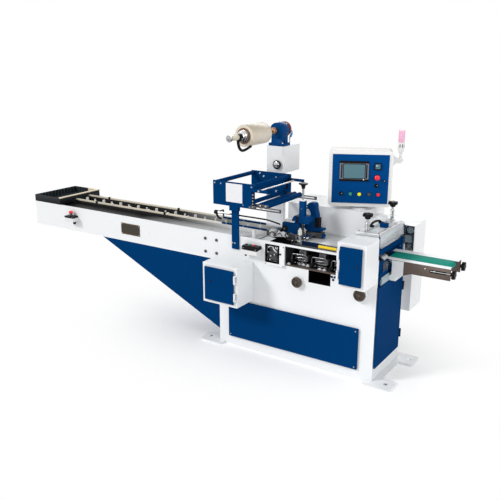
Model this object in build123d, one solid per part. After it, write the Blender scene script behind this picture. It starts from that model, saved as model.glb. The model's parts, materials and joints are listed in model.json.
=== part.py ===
from build123d import *
import os

# Body, in millimetres; the origin is the middle of the base on the floor
BODY_LENGTH = 1290.0
BODY_WIDTH = 484.0
WORK_HEIGHT = 890.0
LINE_Y = 15.0
WALL = 12.0
SHEET = 4.0
RUN_GAP = 5.0
FIT = 0.3

X0 = -BODY_LENGTH / 2
X1 = BODY_LENGTH / 2
Y0 = -BODY_WIDTH / 2
Y1 = BODY_WIDTH / 2
IN0 = Y0 + WALL
IN1 = Y1 - WALL

# Base plate and bolt-down tabs
BASE_PLATE = 15.0
BASE_LIP = 48.0
TAB_LENGTH = 200.0
TAB_WIDTH = 160.0
TAB_REACH = 150.0
TAB_SPACING = BODY_WIDTH - 22.0
TAB_CORNER = 30.0
ANCHOR_R = 7.0
ANCHOR_INSET = 52.0

# Infeed beam
INFEED_LENGTH = 2093.0
BEAM_DEPTH = 215.0
BX0 = X0 - INFEED_LENGTH
BZ0 = WORK_HEIGHT - BEAM_DEPTH
DECK_DROP = 12.0
DECK_T = 6.0
DECK_Z = WORK_HEIGHT - DECK_DROP
DECK_RUN = 315.0
DECK_END = X0 + DECK_RUN
CHANNEL = 150.0
CH0 = LINE_Y - CHANNEL / 2
CH1 = LINE_Y + CHANNEL / 2
GUIDE_HEIGHT = 52.0
FRONT_GUIDE = 44.0
GUIDE_LOW = 32.0
GUIDE_T = 6.0
GUSSET_LENGTH = 1241.0
GUSSET_FOOT = 110.0

# Infeed chain
CHAIN_WIDTH = 24.0
CHAIN_T = 12.0
CHAIN_LOOP = 150.0
CHAIN_RISE = 2.0
CHAIN_TOP = DECK_Z + CHAIN_RISE
CHAIN_Z = CHAIN_TOP - CHAIN_LOOP / 2
CHAIN_MARGIN = 42.0
CHAIN_R = CHAIN_LOOP / 2
CHAIN_X0 = BX0 + CHAIN_MARGIN + CHAIN_R
CHAIN_X1 = DECK_END - CHAIN_R
SPROCKET_SHAFT_R = 12.0

# End tray
TRAY_LENGTH = 335.0
TRAY_HEIGHT = 60.0
TRAY_WALL = 8.0
RIB_COUNT = 11
RIB_T = 8.0

# Chain lugs
LUG_PITCH = 210.0
LUG_HEIGHT = 45.0
LUG_T = 10.0
LUG_INSET = 107.0
LUG_START = DECK_END - LUG_INSET
LUG_COUNT = int((LUG_START - BX0 - TRAY_LENGTH) / LUG_PITCH) + 1

# Button stations on the front
STOP_INSET = 501.0
STOP_X = BX0 + STOP_INSET
STOP_WIDTH = 108.0
STOP_DROP = 122.0
STOP_Z = WORK_HEIGHT - STOP_DROP
STOP_HEIGHT = 50.0
STATION_DEPTH = 60.0
STATION_CORNER = 8.0
JOG_INSET = 317.0
JOG_X = X0 + JOG_INSET
JOG_WIDTH = 130.0
JOG_DROP = 108.0
JOG_Z = WORK_HEIGHT - JOG_DROP
JOG_HEIGHT = 64.0
JOG_STEP = 32.0
BUTTON_R = 11.0
BUTTON_H = 10.0
MUSHROOM_R = 19.0
MUSHROOM_H = 44.0

# Control box on the front
BOX_WIDTH = 307.0
BOX_DEPTH = 212.0
BOX_HEIGHT = 306.0
BOX_INSET = 5.0
BOX_X0 = X0 + BOX_INSET
BOX_DROP = 479.0
BOX_Z = WORK_HEIGHT - BOX_DROP
BOX_RIM = 26.0
BOX_LAP = 10.0
BOX_DOOR_T = 12.0
BOX_HINGE_INSET = 60.0

# Lower panels and end door
PANEL_T = 18.0
PANEL_LEFT = 98.0
PANEL_RIGHT = 112.0
LOW_Z = 79.0
PANEL_DROP = 30.0
PANEL_TOP_Z = BOX_Z - PANEL_DROP
END_DROP = 200.0
END_TOP = WORK_HEIGHT - END_DROP
END_RIM = 50.0
END_SILL = 115.0
END_DOOR_Z = 110.0
END_DOOR_RISE = 10.0
END_DOOR_FRONT = 4.0
END_DOOR_REAR = 40.0
END_DOOR_T = 10.0
END_HINGE_INSET = 110.0

# Hinges
HINGE_R = 8.0
PIN_R = 4.0
BARREL_H = 40.0
EAR_H = 10.0
EAR_GAP = 1.0
HINGE_OUT = 12.0
LEAF = 5.0

# Jaw guard box and its door
GUARD_WIDTH = 203.0
GUARD_DEPTH = 200.0
GUARD_DROP = 158.0
GUARD_Z = WORK_HEIGHT - GUARD_DROP
GUARD_HEIGHT = 304.0
GUARD_RIM = 25.0
GUARD_LAP = 10.0
GUARD_DOOR_T = 12.0
GUARD_HINGE_INSET = 60.0
GUARD_X0 = X1 - GUARD_WIDTH
GUARD_TOP = GUARD_Z + GUARD_HEIGHT

# Front openings
SEAL_INSET = 585.0
SEAL_LEFT = X0 + SEAL_INSET
SEAL_MARGIN = 14.0
SEAL_RIGHT = GUARD_X0 - SEAL_MARGIN
SEAL_DROP = 152.0
SEAL_Z = WORK_HEIGHT - SEAL_DROP
SEAL_RAIL = 14.0
SEAL_WIDTH = SEAL_RIGHT - SEAL_LEFT
SCRAP_SHARE = 0.41
SCRAP_X = SEAL_LEFT + SCRAP_SHARE * SEAL_WIDTH
SCRAP_WIDTH = 157.0
SCRAP_HEIGHT = 80.0
SCRAP_LINTEL = 8.0
SCRAP_Z = SEAL_Z - SCRAP_LINTEL - SCRAP_HEIGHT
GEAR_OFFSET = 156.0
GEAR_X = SEAL_LEFT - GEAR_OFFSET
GEAR_WIDTH = 105.0
GEAR_DROP = 145.0
GEAR_Z = WORK_HEIGHT - GEAR_DROP
GEAR_HEIGHT = 121.0
COVER_LEFT = 7.0
COVER_RIGHT = 51.0
COVER_BELOW = 26.0
COVER_ABOVE = 11.0
COVER_T = 14.0
COVER_CORNER = 10.0
CASE_DEPTH = 80.0

# Handwheels
WHEEL_DROP = 258.0
WHEEL_Z = WORK_HEIGHT - WHEEL_DROP
WHEEL_LEFT = 91.0
WHEEL_RIGHT = 113.0
WHEEL_XS = (SCRAP_X - WHEEL_LEFT, X1 - WHEEL_RIGHT)
WHEEL_RS = (39.0, 42.0)
WHEEL_T = 18.0
WHEEL_SHAFT_R = 7.0
WHEEL_BOSS_R = 47.0
WHEEL_BOSS_T = 9.0
WHEEL_TAIL = 40.0

# Sealing jaws
JAW_INSET = 100.0
JAW_X = X1 - JAW_INSET
JAW_LEFT = 75.0
JAW_RIGHT = 91.0
JAW_PLATE = 24.0
JAW_DROP = 150.0
JAW_Z = WORK_HEIGHT - JAW_DROP
JAW_RISE = 4.0
JAW_TOP = GUARD_TOP + JAW_RISE
BRIDGE_WIDTH = 80.0
BRIDGE_T = 16.0
BRIDGE_DROP = 12.0
SEAL_PLANE_DROP = 18.0
SEAL_PLANE = WORK_HEIGHT - SEAL_PLANE_DROP
JAW_R = 46.0
JAW_TIP = 54.0
JAW_OFFSET = 58.0
JAW_LENGTH = 180.0
JAW_BAR = 24.0
JAW_SHAFT_R = 15.0
CLEAR_T = 6.0
CLEAR_SKIRT = 16.0
CLEAR_TAIL = 4.0
CLEAR_SLANT = 8.0
CLEAR_FALL = 95.0

# Black adjusting knobs
KNOB_R = 36.0
KNOB_H = 22.0
KNOB_NECK_R = 20.0
KNOB_NECK_H = 16.0
KNOB_LIFT = 115.0
KNOB_STEM_R = 8.0
KNOB_LOBES = 6
KNOB_NOTCH_R = 12.0
TENSION_R = 30.0
TENSION_H = 22.0
TENSION_STEM = 10.0

# Bed and fin seal
BED_T = 12.0
BED_DROP = 13.0
BED_TOP = WORK_HEIGHT - BED_DROP
FIN_INSET = 120.0
FIN_Y = IN0 + FIN_INSET
BED_OVERHANG = 50.0
BED_FRONT = FIN_Y + BED_OVERHANG
BED_APRON = 75.0
BED_END = JAW_X - JAW_LEFT
FIN_T = 8.0
SHELF_T = 8.0
FIN_TOP_DROP = 28.0
FIN_TOP = WORK_HEIGHT - FIN_TOP_DROP
FIN_SHARES = (0.164, 0.512, 0.83)
FIN_WIDTH = 60.0
FIN_DEPTH = 62.0
FIN_RISE = 37.0
FIN_Z = SEAL_Z + FIN_RISE
FIN_HEIGHT = 70.0
FIN_KNOB_R = 14.0
FIN_KNOB_L = 34.0

# Film former
FORMER_GAP = 10.0
FORMER_X0 = DECK_END + FORMER_GAP
FORMER_LENGTH = 78.0
FORMER_WIDTH = 128.0
FORMER_EAVE = 28.0
FORMER_RIDGE = 56.0
FORMER_T = 4.0
FORMER_TAIL = 140.0
FORMER_LOW = 22.0

# Coding unit over the former
CODER_INSET = 579.0
CODER_X = X0 + CODER_INSET
CODER_POST = 44.0
CODER_POST_RISE = 278.0
CODER_POST_TOP = WORK_HEIGHT + CODER_POST_RISE
CODER_ARM_RISE = 105.0
CODER_ARM_Z = WORK_HEIGHT + CODER_ARM_RISE
CODER_ARM_H = 48.0
CODER_ARM_LEFT = 74.0
CODER_ARM_RIGHT = 56.0
CODER_ARM_FRONT = 30.0
CODER_HEAD_LEFT = 159.0
CODER_HEAD_LENGTH = 140.0
CODER_HEAD_W = 100.0
CODER_HEAD_H = 90.0
CODER_HEAD_LAP = 8.0
CODER_CORNER = 14.0
CODER_BACK = 57.0
CODER_THICK = 50.0
CODER_FOOT = 96.0
CODER_FOOT_LEFT = 48.0
CODER_FOOT_H = 26.0
LEVER_W = 48.0
LEVER_LEFT = 25.0
LEVER_RISE = 242.0
LEVER_HOOK = 48.0
LEVER_HOOK_H = 40.0
LEVER_PAD = 23.0
LEVER_PAD_Z = 66.0
LEVER_PAD_H = 75.0
CODER_KNOB_R = 35.0
CODER_KNOB_H = 14.0
CODER_NECK_R = 16.0
CODER_NECK_H = 26.0
CODER_KNOB_LIFT = 84.0

# Film frame
FRAME_INSET = 24.0
FRAME_X0 = X0 - FRAME_INSET
FRAME_LENGTH = 365.0
FRAME_RISE = 229.0
FRAME_Z = WORK_HEIGHT + FRAME_RISE
FRAME_HEIGHT = 179.0
FRAME_T = 8.0
FRAME_FRONT = 30.0
FRAME_BACK = 12.0
FRAME_Y0 = Y0 - FRAME_FRONT
FRAME_Y1 = Y1 + FRAME_BACK
FRAME_X1 = FRAME_X0 + FRAME_LENGTH
FRAME_TOP = FRAME_Z + FRAME_HEIGHT
POST_INSET = 159.0
POST_X = X0 + POST_INSET
POST_WIDTH = 61.0
POST_T = 12.0
POST_DROP = 100.0
POST_Z = WORK_HEIGHT - POST_DROP
POST_CAP = 34.0
POST_CAP_LAP = 8.0
TUBE_BIG = 20.0
TUBE_MID = 16.0
TUBE_LEFT_IN = 20.0
TUBE_TOP_IN = 30.0
TUBE_TOP_DROP = 24.0
TUBE_LOW_IN = 56.0
TUBE_LOW_RISE = 36.0
ARM_T = 6.0
ARM_H = 22.0
ARM_REACH = 112.0
ARM_LAP = 30.0
ARM_UPPER_DROP = 42.0
ARM_LOWER_RISE = 30.0
ROLLER_R = 20.0
ROLLER_STEP = 46.0
ROLLER_INSET = 5.0
THIN_ROD_R = 6.0
THIN_ROD_OUT = 40.0
SLOT_BAR_REACH = 224.0
SLOT_BAR_H = 27.0
SLOT_H = 9.0
SLOT_INSET = 18.0

# Reel column
COLUMN_INSET = 183.5
COLUMN_X = X0 + COLUMN_INSET
COLUMN_WIDTH = 159.0
COLUMN_T = 30.0
COLUMN_GAP = 20.0
COLUMN_Y = FRAME_Y1 + COLUMN_GAP
COLUMN_MOUNT_DROP = 200.0
COLUMN_MOUNT_Z = WORK_HEIGHT - COLUMN_MOUNT_DROP
COLUMN_MOUNT_H = 190.0
HEAD_BOX_LAP = 5.0
HEAD_BOX_Z = FRAME_TOP - HEAD_BOX_LAP
HEAD_BOX_H = 208.0
HEAD_BOX_D = 243.0
HEAD_BOX_TOP = HEAD_BOX_Z + HEAD_BOX_H
STANDOFF_R = 15.0
ADJUST_RISE = 65.0
ADJUST_Z = HEAD_BOX_Z + ADJUST_RISE
ADJUST_OUT = 21.5
ADJUST_X = COLUMN_X + ADJUST_OUT
ADJUST_R = 31.0
ADJUST_T = 22.0
ADJUST_SHAFT_R = 6.0

# Film reel
REEL_RISE = 121.0
REEL_Z = HEAD_BOX_TOP + REEL_RISE
REEL_SHAFT_R = 12.0
REEL_INSET = 72.0
REEL_FRONT = Y0 + REEL_INSET
FILM_WIDTH = 258.0
FILM_R = 79.0
CORE_R = 30.0
REEL_DISC_R = 44.0
REEL_DISC_T = 10.0
CONE_R = 32.0
CONE_LENGTH = 42.0
SHAFT_NOSE = 192.0
LEVER_HUB_R = 17.0
LEVER_HUB_T = 28.0
LEVER_ARM = 104.0
LEVER_GRIP = 108.0
LEVER_BAR = 14.0
HEAD_R = 58.0
HEAD_BASE_H = 22.0
HEAD_BASE_W = 130.0
HEAD_BASE_D = 112.0
HEAD_LENGTH = 100.0
HEAD_NECK = 92.0
HEAD_SETBACK = 10.0
DRUM_R = 50.0
DRUM_T = 30.0
BAND_T = 4.0
BAND_WIDTH = 24.0
BAND_FOOT = 26.0
HEAD_Y = COLUMN_Y + HEAD_SETBACK
DRUM_Y = HEAD_Y + HEAD_LENGTH + RUN_GAP

# Rear cabinet and drive housing
CAB_LEFT = 325.0
CAB_RIGHT = 315.0
CAB_X0 = X0 + CAB_LEFT
CAB_X1 = X1 - CAB_RIGHT
CAB_DEPTH = 368.0
CAB_DROP = 500.0
CAB_Z = WORK_HEIGHT - CAB_DROP
CAB_RISE = 190.0
CAB_TOP = WORK_HEIGHT + CAB_RISE
DRIVE_REACH = 66.0
DRIVE_DEPTH = 226.0
DRIVE_RISE = 140.0
DRIVE_TOP = WORK_HEIGHT + DRIVE_RISE
DRIVE_X1 = X1 + DRIVE_REACH
DRIVE_OPEN = 85.0
DRIVE_OPEN_DROP = 45.0
DRIVE_OPEN_Z = WORK_HEIGHT - DRIVE_OPEN_DROP
DRIVE_RIM = 5.0

# Operator panel on its swivel
PANEL_INSET = 107.0
PANEL_X = CAB_X1 - PANEL_INSET
PANEL_BACK = 118.0
PANEL_Y = Y1 + PANEL_BACK
PANEL_YAW = 24.4
PANEL_WIDTH = 460.0
PANEL_DEPTH = 170.0
PANEL_BOX_H = 412.0
PANEL_CORNER = 26.0
PANEL_RIM = 26.0
PANEL_LAP = 16.0
FACE_T = 6.0
SWIVEL_FLANGE_R = 70.0
SWIVEL_FLANGE_T = 10.0
SWIVEL_NECK_R = 45.0
SWIVEL_NECK_H = 16.0
SWIVEL_PIN_R = 12.0
SWIVEL_PIN_H = 30.0
PANEL_Z = CAB_TOP + SWIVEL_FLANGE_T + SWIVEL_NECK_H + FIT
SCREEN_W = 215.0
SCREEN_H = 146.0
SCREEN_T = 7.0
SCREEN_LEFT = 52.0
SCREEN_DROP = 44.0
KEY_R = 13.0
KEY_T = 12.0
KEY_COUNT = 5
KEY_STEP = 66.0
KEY_RISE = 62.0
SIDE_KEYS = ((256.0, 20.0), (178.0, 19.0), (122.0, 14.0))
SIDE_KEY_INSET = 66.0

# Signal light on the operator panel
SIGNAL_OUT = 51.0
SIGNAL_BACK = 42.0
SIGNAL_RISE = 343.7
SIGNAL_Z = PANEL_Z + SIGNAL_RISE
KNUCKLE_R = 16.0
KNUCKLE_T = 12.0
KNUCKLE_PIN_R = 5.0
SIGNAL_STEM_R = 13.0
SIGNAL_BASE_R = 24.0
SIGNAL_BASE_Z = 60.0
SIGNAL_BASE_H = 68.0
LENS_R = 23.0
LENS_H = 88.0

# Outfeed conveyor
OUT_LAP = 35.0
OUT_X0 = X1 - OUT_LAP
OUT_LENGTH = 460.0
OUT_X1 = OUT_X0 + OUT_LENGTH
BELT_DROP = 20.0
BELT_TOP = WORK_HEIGHT - BELT_DROP
BELT_T = 3.0
BELT_FRONT = 57.0
BELT_BACK = 82.0
BELT_ROLLER_R = 20.0
BELT_END = 16.0
SIDE_T = 6.0
SIDE_FRONT = 71.0
SIDE_BACK = 141.0
SIDE_LIP = 3.0
SIDE_TOP = BELT_TOP - SIDE_LIP
SIDE_DEPTH = 90.0
SIDE_Z = SIDE_TOP - SIDE_DEPTH
SIDE_NOSE = 14.0
SIDE_START = 62.0
SIDE_CUT = 198.0
SIDE_FALL = 52.0
SIDE_SHELF = 28.0
SIDE_SHELF_H = 40.0
SIDE_GAP = 2.0
CROSS_T = 8.0
OUT_SHAFT_R = 8.0
BELT_R = BELT_ROLLER_R + BELT_T
BELT_Z = BELT_TOP - BELT_R
BELT_X0 = OUT_X0 + BELT_END + BELT_R
BELT_X1 = OUT_X1 - BELT_END
SIDE_LOW = END_TOP + END_DOOR_RISE + RUN_GAP

# Hold-down rod and blue guide bars
BAR_LENGTH = 415.0
BAR_STAGGER = 100.0
BAR_H = 14.0
BAR_T = 8.0
HOLD_R = 6.0
HOLD_KNOB_R = 15.0
HOLD_START = 522.0
HOLD_X = DECK_END - HOLD_START
HOLD_LENGTH = 470.0
HOLD_TIP = 125.0
HOLD_FALL = 20.0
HOLD_RISE = 97.0
HOLD_Z = DECK_Z + HOLD_RISE
HOLD_BACK = 20.0
HOLD_POST_Y = CH1 + HOLD_BACK
SENSOR_INSET = 292.0
SENSOR_X = X0 + SENSOR_INSET
SENSOR_FRONT = 30.0
SENSOR_Y = IN0 + SENSOR_FRONT
SENSOR_W = 24.0
SENSOR_H = 68.0


def block(x, y, z):
    centre = Pos((x[0] + x[1]) / 2, (y[0] + y[1]) / 2, (z[0] + z[1]) / 2)
    return centre * Box(x[1] - x[0], y[1] - y[0], z[1] - z[0])


def rod_x(radius, x, y, z):
    return Pos((x[0] + x[1]) / 2, y, z) * Rot(0, 90, 0) * Cylinder(radius, x[1] - x[0])


def rod_y(radius, x, y, z):
    return Pos(x, (y[0] + y[1]) / 2, z) * Rot(90, 0, 0) * Cylinder(radius, y[1] - y[0])


def rod_z(radius, x, y, z):
    return Pos(x, y, (z[0] + z[1]) / 2) * Cylinder(radius, z[1] - z[0])


def rod_to(radius, start, end):
    way = Vector(*end) - Vector(*start)
    return extrude(Plane(origin=start, z_dir=way) * Circle(radius), amount=way.length)


def prism_y(points, y):
    face = Plane.XZ.offset(-y[1]) * Polygon(*points, align=None)
    return extrude(face, amount=y[1] - y[0], dir=(0, -1, 0))


def prism_x(points, x):
    face = Plane.YZ.offset(x[0]) * Polygon(*points, align=None)
    return extrude(face, amount=x[1] - x[0], dir=(1, 0, 0))


def loop_y(x, z, radius, thick, y):
    middle = Pos((x[0] + x[1]) / 2, 0, z)
    plane = Plane.XZ.offset(-y[1])
    long = x[1] - x[0]
    outer = extrude(plane * SlotCenterToCenter(long, 2 * radius), amount=y[1] - y[0])
    inner = extrude(plane * SlotCenterToCenter(long, 2 * (radius - thick)), amount=y[1] - y[0])
    return middle * (outer - inner)


def tray(x, y, z, wall):
    outer = block(x, y, z)
    inner = block((x[0] + wall, x[1] - wall), (y[0] + wall, y[1] - wall), (z[0] + wall, z[1] + wall))
    return outer - inner


def star_disc(radius, height):
    solid = Pos(0, 0, height / 2) * Cylinder(radius, height)
    notch = Pos(radius + KNOB_NOTCH_R / 2, 0, height / 2) * Cylinder(KNOB_NOTCH_R, height)
    for i in range(KNOB_LOBES):
        solid -= Rot(0, 0, i * 360 / KNOB_LOBES) * notch
    return solid


def star_knob(radius, height, neck_r, neck_h):
    neck = Pos(0, 0, neck_h / 2) * Cylinder(neck_r, neck_h)
    return neck + Pos(0, 0, neck_h) * star_disc(radius, height)


def house(half, base, eave, ridge):
    left = LINE_Y - half
    right = LINE_Y + half
    return (left, base), (right, base), (right, base + eave), (LINE_Y, base + ridge), (left, base + eave)


def hinge_ears(x, y, z, leaf_x, leaf_y):
    solid = rod_z(PIN_R, x, y, (z - BARREL_H / 2 - EAR_GAP, z + BARREL_H / 2 + EAR_GAP))
    for side in (-1, 1):
        near = z + side * (BARREL_H / 2 + EAR_GAP)
        span = sorted((near, near + side * EAR_H))
        solid += rod_z(HINGE_R, x, y, span)
        solid += block(leaf_x, leaf_y, span)
    return solid


def hinge_barrel(x, y, z, leaf_x, leaf_y):
    span = (z - BARREL_H / 2, z + BARREL_H / 2)
    solid = rod_z(HINGE_R, x, y, span) + block(leaf_x, leaf_y, span)
    return solid - rod_z(PIN_R + FIT, x, y, span)


# Base and body plates
def base_plate():
    solid = block((X0 - BASE_LIP, X1 + BASE_LIP), (Y0, Y1), (0, BASE_PLATE))
    for sx in (-1, 1):
        for sy in (-1, 1):
            middle = sx * (X1 + TAB_REACH - TAB_LENGTH / 2)
            tab = Box(TAB_LENGTH, TAB_WIDTH, BASE_PLATE)
            tab = fillet(tab.edges().filter_by(Axis.Z), TAB_CORNER)
            solid += Pos(middle, sy * TAB_SPACING / 2, BASE_PLATE / 2) * tab
    for sx in (-1, 1):
        for sy in (-1, 1):
            hole_x = sx * (X1 + TAB_REACH - ANCHOR_INSET)
            solid -= rod_z(ANCHOR_R, hole_x, sy * TAB_SPACING / 2, (0, BASE_PLATE))
    return solid


def front_plate():
    span = (Y0, IN0)
    solid = block((X0, X1), span, (BASE_PLATE, WORK_HEIGHT))
    solid -= block((SEAL_LEFT, SEAL_RIGHT), span, (SEAL_Z, WORK_HEIGHT - SEAL_RAIL))
    solid -= block((SCRAP_X, SCRAP_X + SCRAP_WIDTH), span, (SCRAP_Z, SCRAP_Z + SCRAP_HEIGHT))
    solid -= block((GEAR_X, GEAR_X + GEAR_WIDTH), span, (GEAR_Z, GEAR_Z + GEAR_HEIGHT))
    for x in WHEEL_XS:
        solid += rod_y(WHEEL_BOSS_R, x, (Y0 - WHEEL_BOSS_T, Y0), WHEEL_Z)
        solid -= rod_y(WHEEL_SHAFT_R + FIT, x, (Y0 - WHEEL_BOSS_T, IN0), WHEEL_Z)
    return solid


def rear_plate():
    return block((X0, X1), (IN1, Y1), (BASE_PLATE, WORK_HEIGHT))


def end_plates():
    left = block((X0, X0 + WALL), (IN0, IN1), (BASE_PLATE, BZ0))
    right = block((X1 - WALL, X1), (IN0, IN1), (BASE_PLATE, END_TOP))
    right -= block((X1 - WALL, X1), (IN0 + END_RIM, IN1 - END_RIM), (END_SILL, END_TOP - END_RIM))
    return left + right


def lower_panels():
    x = (X0 + PANEL_LEFT, X1 - PANEL_RIGHT)
    z = (LOW_Z, PANEL_TOP_Z)
    return block(x, (Y0 - PANEL_T, Y0), z) + block(x, (Y1, Y1 + PANEL_T), z)


# End door
END_DOOR_X = (X1 + RUN_GAP, X1 + RUN_GAP + END_DOOR_T)
END_DOOR_Y = (Y0 + END_DOOR_FRONT, Y1 - END_DOOR_REAR)
END_DOOR_SPAN = (END_DOOR_Z, END_TOP + END_DOOR_RISE)
END_AXIS = (END_DOOR_X[1], END_DOOR_Y[1] + HINGE_OUT)
END_HINGES = (END_DOOR_SPAN[0] + END_HINGE_INSET, END_DOOR_SPAN[1] - END_HINGE_INSET)


def end_door():
    solid = block(END_DOOR_X, END_DOOR_Y, END_DOOR_SPAN)
    for z in END_HINGES:
        leaf_x = (END_AXIS[0] - LEAF, END_AXIS[0])
        solid += hinge_barrel(END_AXIS[0], END_AXIS[1], z, leaf_x, (END_DOOR_Y[1], END_AXIS[1]))
    return solid


# Control box
BOX_X = (BOX_X0, BOX_X0 + BOX_WIDTH)
BOX_Y = (Y0 - BOX_DEPTH, Y0)
BOX_SPAN = (BOX_Z, BOX_Z + BOX_HEIGHT)
BOX_DOOR_X = (BOX_X[0] + BOX_RIM, BOX_X[1] - BOX_RIM)
BOX_DOOR_Y = (BOX_Y[0] - RUN_GAP - BOX_DOOR_T, BOX_Y[0] - RUN_GAP)
BOX_DOOR_SPAN = (BOX_SPAN[0] + BOX_RIM, BOX_SPAN[1] - BOX_RIM)
BOX_AXIS = (BOX_DOOR_X[1] + HINGE_OUT, BOX_DOOR_Y[0])
BOX_HINGES = (BOX_DOOR_SPAN[0] + BOX_HINGE_INSET, BOX_DOOR_SPAN[1] - BOX_HINGE_INSET)


def hollow_box(x, y, z, door_x, door_z, lap):
    inner = block((x[0] + SHEET, x[1] - SHEET), (y[0] + SHEET, y[1] - SHEET), (z[0] + SHEET, z[1] - SHEET))
    mouth_x = (door_x[0] + lap, door_x[1] - lap)
    mouth_z = (door_z[0] + lap, door_z[1] - lap)
    return block(x, y, z) - inner - block(mouth_x, (y[0], y[0] + SHEET), mouth_z)


def control_box():
    return hollow_box(BOX_X, BOX_Y, BOX_SPAN, BOX_DOOR_X, BOX_DOOR_SPAN, BOX_LAP)


def control_box_door():
    solid = block(BOX_DOOR_X, BOX_DOOR_Y, BOX_DOOR_SPAN)
    for z in BOX_HINGES:
        leaf_y = (BOX_AXIS[1], BOX_AXIS[1] + LEAF)
        solid += hinge_barrel(BOX_AXIS[0], BOX_AXIS[1], z, (BOX_DOOR_X[1], BOX_AXIS[0]), leaf_y)
    return solid


# Jaw guard
GUARD_X = (GUARD_X0, X1)
GUARD_Y = (Y0 - GUARD_DEPTH, Y0)
GUARD_SPAN = (GUARD_Z, GUARD_TOP)
GUARD_DOOR_X = (GUARD_X[0] + GUARD_RIM, GUARD_X[1] - GUARD_RIM)
GUARD_DOOR_Y = (GUARD_Y[0] - RUN_GAP - GUARD_DOOR_T, GUARD_Y[0] - RUN_GAP)
GUARD_DOOR_SPAN = (GUARD_SPAN[0] + GUARD_RIM, GUARD_SPAN[1] - GUARD_RIM)
GUARD_AXIS = (GUARD_DOOR_X[0] - HINGE_OUT, GUARD_DOOR_Y[0])
GUARD_HINGES = (GUARD_DOOR_SPAN[0] + GUARD_HINGE_INSET, GUARD_DOOR_SPAN[1] - GUARD_HINGE_INSET)


def jaw_guard():
    return hollow_box(GUARD_X, GUARD_Y, GUARD_SPAN, GUARD_DOOR_X, GUARD_DOOR_SPAN, GUARD_LAP)


def jaw_guard_door():
    solid = block(GUARD_DOOR_X, GUARD_DOOR_Y, GUARD_DOOR_SPAN)
    for z in GUARD_HINGES:
        leaf_y = (GUARD_AXIS[1], GUARD_AXIS[1] + LEAF)
        solid += hinge_barrel(GUARD_AXIS[0], GUARD_AXIS[1], z, (GUARD_AXIS[0], GUARD_DOOR_X[0]), leaf_y)
    return solid


def door_hinges():
    solid = Part()
    for z in END_HINGES:
        leaf_y = (END_AXIS[1] - LEAF, END_AXIS[1] + LEAF)
        solid += hinge_ears(END_AXIS[0], END_AXIS[1], z, (X1, END_AXIS[0]), leaf_y)
    return solid


def box_hinges():
    solid = Part()
    for z in BOX_HINGES:
        leaf_x = (BOX_AXIS[0] - LEAF, BOX_AXIS[0] + LEAF)
        solid += hinge_ears(BOX_AXIS[0], BOX_AXIS[1], z, leaf_x, (BOX_AXIS[1], BOX_Y[0]))
    for z in GUARD_HINGES:
        leaf_x = (GUARD_AXIS[0] - LEAF, GUARD_AXIS[0] + LEAF)
        solid += hinge_ears(GUARD_AXIS[0], GUARD_AXIS[1], z, leaf_x, (GUARD_AXIS[1], GUARD_Y[0]))
    return solid


# Infeed beam
def infeed_side_plates():
    x = (BX0, X0)
    z = (BZ0, WORK_HEIGHT)
    return block(x, (Y0, IN0), z) + block(x, (IN1, Y1), z)


def infeed_floor():
    solid = block((BX0, X0), (IN0, IN1), (BZ0, BZ0 + SHEET))
    return solid + block((BX0, BX0 + SHEET), (IN0, IN1), (BZ0, WORK_HEIGHT))


def infeed_deck():
    x = (BX0 + SHEET, DECK_END)
    z = (DECK_Z - DECK_T, DECK_Z)
    front = block(x, (IN0, CH0), z)
    front += block(
        (SENSOR_X - SENSOR_W / 2, SENSOR_X + SENSOR_W / 2),
        (SENSOR_Y - SENSOR_W / 2, SENSOR_Y + SENSOR_W / 2),
        (DECK_Z, DECK_Z + SENSOR_H),
    )
    return front + block(x, (CH1, IN1), z)


GUIDE_SPLIT = DECK_END - BAR_LENGTH


def guide(edge, side, split, full):
    solid = Part()
    web = sorted((edge, edge + side * GUIDE_T))
    for x, height in (((BX0 + TRAY_LENGTH + WALL, split), full), ((split, DECK_END), GUIDE_LOW)):
        solid += block(x, web, (DECK_Z, DECK_Z + height))
    return solid


def product_guides():
    front = guide(CH0, -1, GUIDE_SPLIT, FRONT_GUIDE)
    return front + guide(CH1, 1, GUIDE_SPLIT - BAR_STAGGER, GUIDE_HEIGHT)


def guide_bars():
    z = (DECK_Z + GUIDE_LOW, DECK_Z + GUIDE_LOW + BAR_H)
    solid = Part()
    for edge, side, split in ((CH0, -1, GUIDE_SPLIT), (CH1, 1, GUIDE_SPLIT - BAR_STAGGER)):
        outer = edge + side * GUIDE_T
        y = sorted((outer, outer - side * BAR_T))
        solid += block((split + RUN_GAP, split + BAR_LENGTH), y, z)
    hold = rod_z(HOLD_R, HOLD_X, HOLD_POST_Y, (DECK_Z, HOLD_Z))
    hold += Pos(HOLD_X, HOLD_POST_Y, HOLD_Z) * Sphere(HOLD_KNOB_R)
    hold += rod_y(HOLD_R, HOLD_X, (LINE_Y, HOLD_POST_Y), HOLD_Z)
    hold += Pos(HOLD_X, LINE_Y, HOLD_Z) * Sphere(HOLD_KNOB_R)
    bend = (HOLD_X + HOLD_LENGTH, LINE_Y, HOLD_Z)
    hold += rod_to(HOLD_R, (HOLD_X, LINE_Y, HOLD_Z), bend)
    hold += Pos(*bend) * Sphere(HOLD_R)
    hold += rod_to(HOLD_R, bend, (bend[0] + HOLD_TIP, LINE_Y, HOLD_Z - HOLD_FALL))
    return solid + hold


def infeed_chain():
    span = (LINE_Y - CHAIN_WIDTH / 2, LINE_Y + CHAIN_WIDTH / 2)
    return loop_y((CHAIN_X0, CHAIN_X1), CHAIN_Z, CHAIN_R, CHAIN_T, span)


def chain_lugs():
    y = (LINE_Y - CHAIN_WIDTH / 2, LINE_Y + CHAIN_WIDTH / 2)
    solid = Part()
    for i in range(LUG_COUNT):
        x = LUG_START - i * LUG_PITCH
        span = (x - LUG_T / 2, x + LUG_T / 2)
        solid += block(span, y, (CHAIN_TOP, CHAIN_TOP + LUG_HEIGHT))
        low = CHAIN_TOP - CHAIN_LOOP
        solid += block(span, y, (low - LUG_HEIGHT, low))
    return solid


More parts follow.
